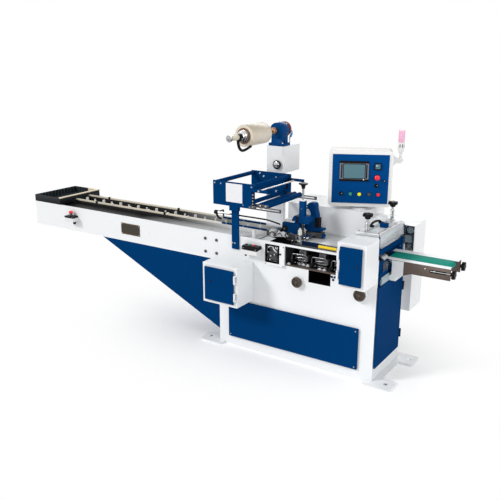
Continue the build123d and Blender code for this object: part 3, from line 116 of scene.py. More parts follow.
def ramp(mat, kind, axis, start, end, color):
    """Another colour comes in between two values along an axis of the place, Object, or of the face's Normal."""
    tree = mat.node_tree
    split = node(tree, "SeparateXYZ", {"Vector": coordinate(mat, kind)})
    span = node(tree, "MapRange", {"Value": split.outputs[axis], "From Min": start, "From Max": end})
    mingle(mat, span.outputs["Result"], color)


def mingle(mat, share, color):
    """Blends a colour over the present one, by a share from 0 to 1."""
    tree = mat.node_tree
    base = tree.nodes["Principled BSDF"].inputs["Base Color"]
    now = base.links[0].from_socket
    blend = node(tree, "Mix", {"Factor": share, "A": now, "B": (*color, 1)}, data_type="RGBA")
    tree.links.new(blend.outputs["Result"], base)


def rings(mat, at, scale, strength, color):
    """Fine lines round an axis along Y, as on the end of a wound roll."""
    tree = mat.node_tree
    place = coordinate(mat, "Object")
    spot = node(tree, "Mapping", {"Vector": place, "Location": [-c for c in at]}, vector_type="POINT")
    look = {"Vector": spot.outputs["Vector"], "Scale": scale, "Distortion": 1.2, "Detail": 2.0}
    wave = node(tree, "TexWave", look, wave_type="RINGS", rings_direction="Y")
    less = node(tree, "Math", {0: wave.outputs["Fac"], 1: strength}, operation="MULTIPLY")
    mingle(mat, less.outputs["Value"], color)


WHITE_PAINT = (0.77, 0.785, 0.80)
BLACK_PAINT = (0.005, 0.005, 0.006)
GUIDE_COLOR = (0.66, 0.60, 0.48)
COATED = {"grain": 420, "bump": 0.05}
BRUSHED = {"grain": 30, "stretch": (4, 90, 90)}

WHITE = material("white_powder_coat", WHITE_PAINT, 0.34, vary=0.02, coat=0.1, shine=0.3, **COATED)
BLUE = material("blue_powder_coat", (0.0006, 0.036, 0.134), 0.36, vary=0.12, shine=0.002, **COATED)
GREY = material("grey_powder_coat", (0.70, 0.71, 0.70), 0.40, vary=0.03, grain=420, bump=0.06)
BLACK = material("black_paint", BLACK_PAINT, 0.4, vary=0.3, grain=200, bump=0.05, shine=0.1)
PLASTIC = material("black_plastic", BLACK_PAINT, 0.36, vary=0.3, grain=300, bump=0.05, shine=0.1)
STEEL = material("brushed_steel", (0.60, 0.61, 0.62), 0.30, 1.0, vary=0.12, wear=0.04, **BRUSHED)
GUIDE, RAIL, REAR_RAIL = (
    material(name, GUIDE_COLOR, 0.45, 0.2, vary=0.12, wear=0.05, **BRUSHED)
    for name in ("guide_steel", "guide_rails", "rear_guide_rail")
)
DARK = material("dark_steel", (0.09, 0.09, 0.095), 0.38, 0.85, vary=0.35, grain=60, wear=0.06)
CHROME = material("chrome", (0.82, 0.83, 0.84), 0.10, 1.0, vary=0.04, grain=30)
LUG = material("lug_plastic", (0.80, 0.79, 0.74), grain=120)
BELT = material("green_belt", (0.006, 0.225, 0.17), 0.6, vary=0.16, grain=260, bump=0.15, stretch=(6, 1, 1), shine=0.06)
FILM = material("wound_film", (0.68, 0.62, 0.52), 0.34, vary=0.08, grain=25, stretch=(60, 2, 60), coat=0.1, shine=0.3)
RED = material("red_plastic", (0.80, 0.010, 0.03), 0.3, vary=0.08, grain=100, coat=0.2)
LENS = material("red_lens", (0.86, 0.44, 0.62), 0.22, vary=0.10, grain=60, coat=0.5)
CLEAR = material("clear_sheet", (0.95, 0.97, 0.98), 0.05, vary=0.02, grain=20)
BRONZE = material("bronze_wheel", (0.085, 0.062, 0.048), 0.45, 0.55, vary=0.35, grain=220, bump=0.2)
BAND = material("red_band", (0.20, 0.022, 0.018), 0.7, vary=0.25, grain=300, bump=0.1)
DECK = material(
    "deck_sheet", (0.012, 0.012, 0.014), 0.36, vary=0.3, grain=30, stretch=(3, 80, 80), wear=0.05, shine=0.12
)
BROWN = material("stainless_side", (0.115, 0.087, 0.075), 0.42, 0.5, vary=0.16, wear=0.05, shine=0.2, **BRUSHED)
CORE = material("card_core", (0.16, 0.085, 0.045), 0.8, vary=0.2, grain=180, bump=0.1)
CARD = material("white_card", (0.74, 0.73, 0.755), 0.6, vary=0.03, grain=60, bump=0.03)
PLATE = material("name_plate", (0.022, 0.014, 0.005), 0.5, 0.1, vary=0.25, grain=60, stretch=(6, 60, 60))
GREEN = material("green_key", (0.002, 0.24, 0.175), 0.3, vary=0.08, grain=100, coat=0.2)
YELLOW = material("yellow_key", (0.86, 0.79, 0.003), 0.35, grain=100, coat=0.2)
LCD = material("screen_glass", (0.046, 0.150, 0.19), 0.12, vary=0.08, grain=10, coat=0.6)
TRIM = material("screen_frame", (0.14, 0.15, 0.18), 0.35, vary=0.12, grain=120)
SKY = material("light_blue_lever", (0.06, 0.25, 0.55), 0.4, vary=0.1, grain=150)
COPPER = material("copper_collar", (0.42, 0.24, 0.15), 0.35, 0.8, vary=0.15, grain=60)
LABEL = material("yellow_strip", (0.95, 0.66, 0.012), grain=80)
# The shadow material: flat near black with no shine, used for painted shade in gaps, slots and openings.
SHADOW = material("painted_shade_black", (0.003, 0.003, 0.004), 0.7, vary=0.3, shine=0.0)
NAVY = material("dark_blue_strip", (0.001, 0.014, 0.05), 0.35, vary=0.2, grain=200, shine=0.1)
PANEL_BLUE = material("panel_face", (0.0010, 0.054, 0.208), 0.36, vary=0.08, grain=420, bump=0.04, shine=0.01)
PANEL_BOX = material("panel_box", (0.76, 0.76, 0.755), 0.38, vary=0.03, shine=0.3, **COATED)
GREASY = material("oiled_steel", (0.30, 0.30, 0.31), 0.26, 0.9, vary=0.3, wear=0.08)
TRAY = material("tray_plastic", (0.010, 0.013, 0.016), vary=0.3, grain=200, bump=0.05, shine=0.15)
RIB = material("tray_ribs", (0.030, 0.045, 0.055), vary=0.3, grain=60, shine=0.2)
PALE = material("pale_parts", (0.30, 0.38, 0.43), 0.4, 0.2, vary=0.4, grain=30)
CREAM = material("cream_edge", (0.84, 0.74, 0.56), grain=60)
HINGE = material("hinge_paint", WHITE_PAINT, 0.4, vary=0.02, grain=420, shine=0.1)
CAST = material("blue_casting", (0.0008, 0.046, 0.172), 0.32, vary=0.14, grain=300, bump=0.05, shine=0.03)
BED = material("bed_sheet", (0.64, 0.65, 0.65), 0.36, 0.4, vary=0.1, wear=0.04, **BRUSHED)

# Painted reflection: the deck sheet turns from near black at its left end to pale steel towards the right.
ramp(DECK, "Object", "X", -1.5, -0.62, (0.58, 0.59, 0.60))
ramp(HINGE, "Object", "X", -0.3505, -0.351, (0.0006, 0.036, 0.136))
# Painted shade: the guide rails go near black below a set height, for the shaded gap beneath them. They also turn pale
# grey towards the right end.
for rail, edge in ((RAIL, 0.906), (REAR_RAIL, 0.9155)):
    ramp(rail, "Object", "Z", edge + MM, edge - MM, (0.012, 0.012, 0.013))
    ramp(rail, "Object", "X", -1.25, -0.6, (0.66, 0.66, 0.65))
# Painted reflection: chrome, brushed steel and oiled steel turn darker on faces that look sideways and down.
ramp(CHROME, "Normal", "Z", 0.35, -0.25, (0.16, 0.165, 0.18))
ramp(STEEL, "Normal", "Z", 0.5, -0.6, (0.22, 0.22, 0.23))
ramp(GREASY, "Normal", "Z", 0.3, -0.3, (0.03, 0.03, 0.035))
# Painted shade: the grey panel box is darker on its upward faces.
ramp(PANEL_BOX, "Normal", "Z", 0.5, 0.98, (0.50, 0.485, 0.47))
# Painted shade: the wound film is darker on its upward faces.
ramp(FILM, "Normal", "Z", 0.1, 0.95, (0.38, 0.33, 0.25))
rings(FILM, (-0.4615, 0, 1.622), 90.0, 0.3, (0.52, 0.43, 0.32))
for sheet, opacity in ((CLEAR, 0.36), (LENS, 0.8)):
    fill(sheet.node_tree, sheet.node_tree.nodes["Principled BSDF"], {"Alpha": opacity})

FINISH = {
    "white_paint": WHITE, "blue_paint": BLUE, "grey_paint": GREY, "black_paint": BLACK, "black_plastic": PLASTIC,
    "steel": STEEL, "guide_steel": GUIDE, "dark_steel": DARK, "chrome": CHROME, "lug_plastic": LUG, "green_belt": BELT,
    "film": FILM, "red_plastic": RED, "red_lens": LENS, "clear_sheet": CLEAR, "bronze": BRONZE, "red_band": BAND,
}
# The inner panels take the shadow material: painted shade behind the fin seal recess and the scrap opening.
SPECIAL = {
    "infeed_deck": DECK, "product_guides": RAIL, "end_tray": TRAY, "outfeed_frame": BROWN, "inner_panels": SHADOW,
    "roller_arms": DARK, "hmi_panel": PANEL_BLUE, "hmi_box": PANEL_BOX, "bed_plate": BED, "bearing_head": CAST,
}


# Finish of the plain solids
WELD = 0.00002
SOLID_BEVEL = 1.2
BEVEL_ANGLE = 40
FLAT = (
    "reel_column", "infeed_side_plates", "front_plate", "rear_plate", "end_plates", "lower_panels", "control_box",
    "control_box_door", "jaw_guard", "jaw_guard_door", "infeed_gusset", "rear_cabinet", "drive_housing", "end_door",
    "base_plate", "window_cover", "film_frame",
)


def soften(obj, width):
    """Rounds the sharp edges, by a width in millimetres."""
    bevel = obj.modifiers.new("bevel", "BEVEL")
    bevel.width = width * MM
    bevel.segments = 2
    bevel.limit_method = "ANGLE"
    bevel.angle_limit = math.radians(BEVEL_ANGLE)
    bevel.harden_normals = True


def dress(node_name, slot_name):
    obj = NODES[node_name]
    obj.data.materials.clear()
    obj.data.materials.append(SPECIAL.get(node_name, FINISH[slot_name]))
    obj.modifiers.new("weld", "WELD").merge_threshold = WELD
    soften(obj, SOLID_BEVEL)
    for polygon in obj.data.polygons:
        polygon.use_smooth = node_name not in FLAT


for entry in frame["record"]["subparts"]:
    dress(entry["node"], entry["material_slot"])


def repaint(node_name, mat, axis, low, high, whole=False):
    """Faces whose middle, or whose every corner, lies in a range along one axis, in metres, get another finish."""
    mesh = NODES[node_name].data
    mesh.materials.append(mat)
    for polygon in mesh.polygons:
        corners = [mesh.vertices[i].co for i in polygon.vertices] if whole else [polygon.center]
        if all(low < corner[axis] < high for corner in corners):
            polygon.material_index = len(mesh.materials) - 1


repaint("jaw_guard_door", WHITE, 0, 0.0, 0.4665, True)
repaint("control_box_door", HINGE, 0, -0.3585, 0.0, True)
repaint("box_hinges", HINGE, 0, -0.4, -0.3)
repaint("end_door", BLACK, 1, 0.203, 0.3, True)
repaint("outfeed_frame", WHITE, 2, 0.60, 0.7455)
repaint("jaw_frame", WHITE, 1, -0.3, -0.2295)
repaint("roller_arms", BLUE, 2, 1.225, 1.3)
repaint("guide_rollers", CHROME, 2, 1.225, 1.3)
repaint("product_guides", REAR_RAIL, 1, 0.03, 0.3)


# Solids for the added pieces
TINY = 0.001


def around(count, start=0.0, axes=(X, Z)):
    """Unit vectors at even angles in the plane of two axes, by default round an axis along Y."""
    angles = [start + 2 * math.pi * i / count for i in range(count)]
    return [axes[0] * math.cos(a) + axes[1] * math.sin(a) for a in angles]


def across(axis):
    """Two unit vectors square to an axis and to each other."""
    side = axis.orthogonal().normalized()
    return side, axis.cross(side)


class Shape:
    """Simple solids, in millimetres, gathered into one mesh; paint picks the material of what comes next."""

    def __init__(self, place=None):
        self.mesh = bmesh.new()
        self.place = place or Matrix.Identity(4)
        self.paint = 0

    def solid(self, points, faces):
        made = [self.mesh.verts.new((self.place @ Vector(p)) * MM) for p in points]
        for face in faces:
            item = self.mesh.faces.new([made[i] for i in face])
            item.material_index = self.paint
            item.smooth = True

    def block(self, x, y, z):
        points = [(a, b, c) for a in x for b in y for c in z]
        self.solid(points, [(0, 1, 3, 2), (4, 6, 7, 5), (0, 4, 5, 1), (2, 3, 7, 6), (0, 2, 6, 4), (1, 5, 7, 3)])

    def rim(self, x, y, z, inner_x, inner_z):
        """Four bars round an opening that looks along Y."""
        for span in ((x[0], inner_x[0]), (inner_x[1], x[1])):
            self.block(span, y, z)
        for span in ((z[0], inner_z[0]), (inner_z[1], z[1])):
            self.block(x, y, span)

    def turn(self, at, axis, profile, sides=28, loop=False):
        """Turns a profile of (radius, height) round an axis; loop closes it into a ring."""
        axis = Vector(axis).normalized()
        circle = around(sides, 0.0, across(axis))
        points = []
        rows = []
        for radius, height in profile:
            middle = Vector(at) + axis * height
            if radius < TINY:
                rows.append([len(points)] * sides)
                points.append(middle)
            else:
                rows.append(list(range(len(points), len(points) + sides)))
                points += [middle + out * radius for out in circle]
        faces = []
        pairs = list(zip(rows, rows[1:]))
        if loop:
            pairs.append((rows[-1], rows[0]))
        for low, high in pairs:
            for i in range(sides):
                j = (i + 1) % sides
                corner = [low[i], low[j], high[j], high[i]]
                face = [c for n, c in enumerate(corner) if c not in corner[:n]]
                if len(face) > 2:
                    faces.append(face)
        if not loop:
            faces += [rows[end] for end in (0, -1) if profile[end][0] >= TINY]
        self.solid(points, faces)

    def rod(self, a, b, r, r2=None, sides=24):
        way = Vector(b) - Vector(a)
        self.turn(a, way, [(r, 0), (r if r2 is None else r2, way.length)], sides)

    def plate(self, outline, axis, span):
        """Raises an outline along an axis: (x, z) along Y, (y, z) along X, (x, y) along Z."""
        def at(p, h):
            return {"X": (h, p[0], p[1]), "Y": (p[0], h, p[1]), "Z": (p[0], p[1], h)}[axis]

        n = len(outline)
        points = [at(p, h) for h in span for p in outline]
        faces = [list(range(n)), list(range(n, 2 * n))]
        faces += [(i, (i + 1) % n, n + (i + 1) % n, n + i) for i in range(n)]
        self.solid(points, faces)

    def tube(self, path, r, sides=12, soft=0, ends=None):
        """A round bar along points; soft adds points between them on a smooth curve, ends is the last radius."""
        line = [Vector(p) for p in path]
        if soft:
            line = curve(line, soft)
        last = len(line) - 1
        points = []
        side = None
        for i, p in enumerate(line):
            ahead = (line[min(i + 1, last)] - line[max(i - 1, 0)]).normalized()
            side = ahead.orthogonal() if side is None else side - ahead * side.dot(ahead)
            side.normalize()
            radius = r if ends is None else r + (ends - r) * i / last
            points += [p + out * radius for out in around(sides, 0.0, (side, ahead.cross(side)))]
        faces = [list(range(sides)), list(range(len(points) - sides, len(points)))]
        for i in range(last):
            for k in range(sides):
                j = (k + 1) % sides
                faces.append((i * sides + k, i * sides + j, (i + 1) * sides + j, (i + 1) * sides + k))
        self.solid(points, faces)

    def ball(self, at, r):
        steps = 9
        arc = [math.pi * i / steps - math.pi / 2 for i in range(steps + 1)]
        self.turn(at, Z, [(r * math.cos(a), r * math.sin(a)) for a in arc], 20)

    def bolt(self, at, axis, r, h):
        inner = r * 0.52
        profile = [(0, h * 0.45), (inner, h * 0.45), (inner, h), (r * 0.86, h), (r, h * 0.78), (r, -0.5), (0, -0.5)]
        self.turn(at, axis, profile, 16)

    def bolts(self, spots, y, axis, r, h):
        """Screws at (x, z) places on a plane square to Y."""
        for x, z in spots:
            self.bolt((x, y, z), axis, r, h)

    def spring(self, at, r, wire, turns, height):
        """A coil spring that stands along Z."""
        steps = 12
        circle = around(steps, 0.0, across(Z))
        count = turns * steps
        path = [Vector(at) + Z * (height * i / count) + circle[i % steps] * r for i in range(count + 1)]
        self.tube(path, wire, 6)

    def gear(self, at, r, teeth, span):
        """A spur gear on an axis along Y, with a bore ring and a hub."""
        reach = (r * 0.88, r, r, r * 0.88)
        rim = [out * reach[i % 4] for i, out in enumerate(around(teeth * 4))]
        self.plate([(at[0] + p.x, at[1] + p.z) for p in rim], "Y", span)
        middle = Vector((at[0], span[0], at[1]))
        self.turn(middle, -Y, [(r * 0.3, -1), (r * 0.3, 5), (r * 0.14, 5), (r * 0.12, 2), (0, 2)])
        for out in around(5, 0.3):
            self.turn(middle + out * (r * 0.55), -Y, [(r * 0.13, -1), (r * 0.13, 1.2), (r * 0.09, 1.6), (0, 1.6)], 12)


def curve(line, steps):
    """Points on a smooth curve through the given ones."""
    out = []
    for i in range(len(line) - 1):
        p0, p1, p2, p3 = line[max(i - 1, 0)], line[i], line[i + 1], line[min(i + 2, len(line) - 1)]
        for k in range(steps):
            t = k / steps
            bend = (2 * p0 - 5 * p1 + 4 * p2 - p3) * t * t
            out.append(0.5 * (2 * p1 + (p2 - p0) * t + bend + (3 * p1 - p0 - 3 * p2 + p3) * t ** 3))
    out.append(line[-1])
    return out


def rounded(x, z, r, steps=4):
    """A rectangle with round corners, as (x, z) points."""
    low, high = (x[0] + r, z[0] + r), (x[1] - r, z[1] - r)
    out = []
    for cx, cz, start in ((high[0], high[1], 0), (low[0], high[1], 90), (low[0], low[1], 180), (high[0], low[1], 270)):
        for i in range(steps + 1):
            a = math.radians(start + 90 * i / steps)
            out.append((cx + r * math.cos(a), cz + r * math.sin(a)))
    return out


def smooth_outline(points, steps=5):
    """A closed smooth outline through (x, z) points."""
    line = [Vector((p[0], p[1], 0)) for p in points]
    ring = curve([line[-1]] + line + [line[0], line[1]], steps)
    return [(p.x, p.y) for p in ring[steps : steps * (len(points) + 1)]]


def show(name, data):
    obj = bpy.data.objects.new(name, data)
    bpy.context.scene.collection.objects.link(obj)
    return obj


def piece(name, shape, paints, bevel, stands_for=None, body="machine", turn_angle=35):
    """Puts a shape on a body, where it may stand for a plain solid."""
    mesh = bpy.data.meshes.new(name)
    bmesh.ops.recalc_face_normals(shape.mesh, faces=shape.mesh.faces[:])
    shape.mesh.to_mesh(mesh)
    shape.mesh.free()
    for paint in paints:
        mesh.materials.append(paint)
    mesh.set_sharp_from_angle(angle=math.radians(turn_angle))
    obj = show(name, mesh)
    if bevel:
        soften(obj, bevel)
    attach(obj, body)
    if stands_for:
        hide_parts(stands_for)


# Operator panel: screen, meter, keys
PANEL = Matrix.Translation((223, 360, 0)) @ Matrix.Rotation(math.radians(24.4), 4, "Z")
FACE = -91.0
KEY_HEIGHT = 1201
LIGHT_X, LIGHT_Y = 281.0, -35.5


def panel_controls():
    s = Shape(PANEL)
    s.block((-152, 60), (FACE - 5, FACE), (1296, 1444))
    s.paint = 1
    s.block((-151, 59), (FACE - 8, FACE - 4), (1312, 1428))
    s.paint = 0
    s.block((-126, 36), (FACE - 9, FACE - 7), (1315, 1426))
    s.paint = 2
    s.block((-121, 31), (FACE - 10, FACE - 8), (1320, 1421))
    s.paint = 0
    for x in (-136, 44):
        s.block((x - 4, x + 4), (FACE - 9.5, FACE - 7), (1320, 1420))
    s.paint = 8
    s.turn((24, FACE - 8, 1311), -Y, [(5, 0), (5, 2.5), (3, 3.2), (0, 3.2)], 16)
    # Square meter
    s.paint = 0
    s.block((97, 147), (FACE - 9, FACE), (1383, 1433))
    s.paint = 2
    s.block((105, 139), (FACE - 11, FACE - 8), (1391, 1425))
    s.paint = 9
    s.block((109, 123), (FACE - 12, FACE - 10), (1407, 1420))
    s.paint = 0
    s.tube([(109, FACE - 12.6, 1396), (127, FACE - 12.6, 1409)], 1.1, 6)
    # Stop button on its collar, selectors and lamps
    s.paint = 6
    s.turn((121, FACE, 1328), -Y, [(21, 0), (21, 3), (18, 5), (0, 5)])
    s.paint = 3
    s.turn((121, FACE, 1328), -Y, [(12, 4), (12, 15), (18, 17), (20, 21), (18, 26), (12, 30), (0, 31)])
    selector(s, 119, 1268, 14)
    s.paint = 0
    s.turn((174, FACE, 1303), -Y, [(10, 0), (10, 3), (7, 5), (0, 5)], 20)
    s.paint = 7
    s.turn((174, FACE - 4.6, 1303), -Y, [(4, 0), (4, 2), (0, 2.6)], 12)
    selector(s, -134, 1203, 14)
    for x, paint in ((-67, 4), (-2, 5), (69, 10), (135, 3)):
        s.paint = 6
        s.turn((x, FACE, KEY_HEIGHT), -Y, [(15.5, 0), (15.5, 3), (13, 5), (0, 5)])
        s.paint = paint
        s.turn((x, FACE, KEY_HEIGHT), -Y, [(13, 4), (13, 9), (11, 11), (0, 11.6)])
    paints = [PLASTIC, TRIM, LCD, RED, GREEN, YELLOW, PLASTIC, CHROME, CARD, PALE, DARK]
    piece("panel_controls", s, paints, 0.6, "hmi_controls", "operator_panel")


def selector(s, x, z, r):
    s.paint = 6
    s.turn((x, FACE, z), -Y, [(r + 1.5, 0), (r + 1.5, 3), (r, 5), (0, 5)])
    s.paint = 0
    s.turn((x, FACE, z), -Y, [(r - 2, 4), (r - 3, 9), (0, 9)])
    s.plate([(x - 9, z - 6), (x - 6, z - 10), (x + 10, z + 6), (x + 7, z + 10)], "Y", (FACE - 16, FACE - 8))
    s.paint = 8
    s.plate([(x + 1, z + 1.5), (x + 2.5, z), (x + 8, z + 5.5), (x + 6.5, z + 7)], "Y", (FACE - 16.6, FACE - 15))


def panel_trim():
    s = Shape(PANEL)
    # Gasket round the face, and the signal light's bracket with its round boss
    for x in (-205.5, 203.5):
        s.block((x, x + 2), (-90, -84.5), (1131, 1493))
    for z in (1130.5, 1492):
        s.block((-205, 205), (-90, -84.5), (z, z + 2))
    bracket = [
        (229, 1490), (246, 1474), (262, 1468), (281, 1470), (281, 1430), (262, 1432), (246, 1424), (229, 1406),
    ]
    s.plate(bracket, "Y", (-57, -49))
    s.turn((LIGHT_X, -43, 1450), -Y, [(20, 0.4), (21, 2), (21, 13), (19, 15), (6, 15), (5, 13), (0, 13)], 32)
    piece("panel_trim", s, [GREY], 0.6, body="operator_panel")


def signal_body():
    s = Shape(PANEL)
    x, y = LIGHT_X, LIGHT_Y
    s.turn((x, y - 6, 1450), Y, [(20, 0), (21, 2), (21, 10), (20, 12)])
    s.block((x - 8, x + 8), (y - 6, y + 6), (1450, 1476))
    cup = [(9.5, 1474), (10.5, 1490), (13, 1500), (19, 1512), (23, 1526), (24, 1540), (24, 1578)]
    s.turn((x, y, 0), Z, cup, 32)
    s.paint = 1
    for turn in (-115, -75, -35):
        out = around(1, math.radians(turn), (X, Y))[0]
        for z in (1546, 1554, 1562):
            s.turn(Vector((x, y, z)) + out * 23.6, out, [(4.6, -2), (4.6, 0.5), (0, 0.8)], 12)
    piece("signal_body", s, [GREY, DARK], 0.8, "signal_base", "signal_light")


panel_controls()
panel_trim()
signal_body()


# Film reel, bearing head and tension knob
REEL_X, REEL_Z = -461.5, 1622.0


def reel_details():
    x, z = REEL_X, REEL_Z
    s = Shape()
    s.turn((x, -170, z), -Y, [(44.5, -2), (58, -2), (58, 4), (56.5, 5), (45.5, 5), (44.5, 4)], 48, True)
    piece("film_core", s, [CORE], 0.3, body="reel")
    s = Shape()
    # Ribbed collars on the cone, a clamp ring and its screws, and the collar at the bearing
    cone = [(30, -1), (41, -1), (42, 2), (42, 14), (39, 18), (35, 19), (34, 34), (29, 40), (20, 41)]
    s.turn((x, -180, z), -Y, cone, 48)
    s.turn((x, -340, z), -Y, [(12.3, 0), (23, 0), (25, 3), (25, 18), (22, 21.5), (12.3, 21.5)], 36, True)
    for out in around(3, 0.4):
        s.bolt(Vector((x, -350, z)) + out * 24.5, out, 4, 3)
    s.paint = 1
    s.turn((x, -252, z), -Y, [(12.4, 0), (20, 2), (22, 6), (22, 46), (18, 50), (18, 80), (12.4, 84)], 36, True)
    piece("reel_collars", s, [CHROME, GUIDE], 0.4, body="reel")
    s = Shape()
    s.turn((x, 214, z), Y, [(12.4, 0), (21, 0), (24, 4), (24, 40), (21, 44), (12.4, 44)], 36, True)
    for out in around(6):
        s.bolt(Vector((x, 236, z)) + out * 24, out, 5, 3.5)
    piece("shaft_collar", s, [COPPER], 0.5, body="reel")
    s = Shape()
    s.turn((x, -222, z), -Y, [(12.6, 0), (19, 0), (21, 3), (21, 25), (19, 28), (12.6, 28)], 32, True)
    handle = [(-4, -14), (-4, -48), (8, -82), (32, -95), (66, -82), (102, -60)]
    s.tube([(x + dx, -236, z + dz) for dx, dz in handle], 11.0, 14, 6, 9.0)
    s.ball((x + 102, -236, z - 60), 9.5)
    piece("reel_handle", s, [PLASTIC], 0.6, "reel_lever", "reel")


def bearing_details():
    x, z = REEL_X, REEL_Z
    s = Shape()
    # Rounded caps and a ribbed foot on the casting, with its screws and grease cup
    s.turn((x, 284, z), -Y, [(58, -1), (58, 2), (52, 7), (36, 8), (34, 12), (22, 13), (22, 2)], 48)
    s.turn((x, 384, z), Y, [(58, -1), (58, 1), (50, 2), (22, 2)], 48)
    for side in (-1, 1):
        s.plate([(x + side * 44, 1522), (x + side * 62, 1522), (x + side * 46, 1560)], "Y", (322, 334))
    piece("bearing_casting", s, [CAST], 1.0)
    s = Shape()
    for dx, y in product((-54, 54), (286, 372)):
        s.bolt((x + dx, y, 1523), Z, 6, 6)
    s.turn((x, 330, z + 56), Z, [(5, 0), (5, 4), (3.5, 5), (3.5, 9), (0, 11)], 14)
    s.paint = 1
    s.turn((x, 272, z), -Y, [(12.7, -3), (23, -3), (23, 1), (12.7, 1)], 32, True)
    piece("bearing_screws", s, [CHROME, PLASTIC], 0.3)
    s = Shape()
    # Spring lever of the brake band
    lever = [(60, 1612), (68, 1616), (74, 1590), (64, 1560), (54, 1566), (62, 1590)]
    s.plate([(x + dx, height) for dx, height in lever], "Y", (396, 412))
    s.paint = 1
    s.spring((x + 52, 404, 1530), 6, 1.6, 7, 36)
    s.rod((x + 52, 404, 1501), (x + 52, 404, 1578), 3)
    s.bolt((x + 66, 396, 1598), -Y, 6, 5)
    piece("brake_lever", s, [SKY, CHROME], 0.6)


def tension_knob():
    x, z = -440.0, 1358.0
    s = Shape()
    s.turn((x, 269, z), Y, [(6, 38), (6, 3), (22, 3), (27, -2), (28.5, -12), (25, -18), (17, -21.5), (0, -22)], 48)
    s.paint = 1
    s.turn((x, 269, z), Y, [(25, 3), (33, 0), (35, -5), (35, -12), (32, -16), (27.5, -17), (25, -12)], 48, True)
    for out in around(24):
        s.turn(Vector((x, 258, z)) + out * 33.6, Y, [(0, -3), (1.4, -2), (1.4, 7), (0, 8)], 8)
    piece("chrome_knob", s, [CHROME, BLACK], 0.3, "tension_knob", "tension_knob")


reel_details()
bearing_details()
tension_knob()


# Film frame: screws, blank card, slotted strip, roller ends
FRAME_FRONT = -272.0


def frame_details():
    s = Shape()
    s.bolts(((-651, 1279), (-597, 1279), (-328, 1278)), FRAME_FRONT, -Y, 6, 4)
    s.bolts(((-401, 1140), (-346, 1131), (-317, 1125)), FRAME_FRONT, -Y, 4.5, 4)
    s.bolts(((-644, 1282), (-587, 1281), (-552, 1259), (-434, 1261), (-434, 1151)), 246, -Y, 8, 6)
    s.bolts(product((-644, -587, -330), (1282, 1140)), 254, Y, 8, 5)
    s.bolts(((-508, 836), (-486, 836)), -254, -Y, 6, 5)
    piece("frame_screws", s, [CHROME], 0.3)
    s = Shape()
    s.block((-552, -408), (FRAME_FRONT - 1.2, FRAME_FRONT), (1150, 1288))
    piece("blank_card", s, [CARD], 0.2)
    s = Shape()
    # Upright slotted strip at the plate's right edge, its nuts and the chain of spacers
    s.paint = 1
    s.block((-322, -306), (FRAME_FRONT - 4, FRAME_FRONT), (1124, 1240))
    s.paint = 0
    for i in range(5):
        s.turn((-314, FRAME_FRONT - 4, 1136 + 22 * i), -Y, [(5.5, -1), (5.5, 3), (4.5, 4), (0, 4)], 6)
    for x in (-217, -263):
        for y, out in ((-258, -Y), (240, Y)):
            s.turn((x, y, 1149), out, [(9, -2), (9, 6), (7, 8), (0, 8)], 6)
    for y, out in ((-278, -Y), (260, Y)):
        s.turn((-264, y, 1256), out, [(9, -2), (9, 5), (6, 8), (0, 8)], 20)
        for x in (-98, -240):
            s.turn((x, y, 1132.5), out, [(8, -1), (8, 4), (0, 5)], 6)
    piece("strip_and_nuts", s, [STEEL, BLACK], 0.3)
    s = Shape()
    # Dark bracket with a swinging finger at the rear end of the thin rod
    s.block((-428, -330), (236, 246), (1246, 1266))
    s.turn((-352, 241, 1270), Z, [(9, -6), (9, 6), (6, 9), (0, 9)], 20)
    s.tube([(-334, 241, 1257), (-304, 241, 1261), (-284, 241, 1258)], 5, 10, 4)
    s.tube([(-340, 241, 1246), (-336, 241, 1215), (-341, 241, 1188)], 4.5, 10, 4)
    s.ball((-341, 241, 1186), 8)
    s.paint = 1
    s.bolts(((-416, 1256), (-376, 1256)), 236, -Y, 6, 4)
    piece("rod_bracket", s, [PLASTIC, CHROME], 0.8)


frame_details()


# Coding unit, film former and the bed round them
CODER_X, CODER_Y = -66, 15
LEVER = [
    (-60, 1122), (-44, 1137), (-21, 1142), (0, 1138), (10, 1124), (11, 1095), (19, 1066), (26, 1031), (28, 968),
    (50, 954), (70, 956), (77, 946), (66, 934), (1, 922), (-38, 917), (-68, 926), (-84, 949), (-70, 996),
    (-38, 1010), (-32, 1055), (-48, 1085), (-68, 1108),
]
ARM = [
    (-142, 1005), (-130, 1036), (-112, 1049), (-90, 1045), (-32, 1049), (-4, 1044), (8, 1018), (-8, 994), (-66, 992),
    (-123, 985),
]


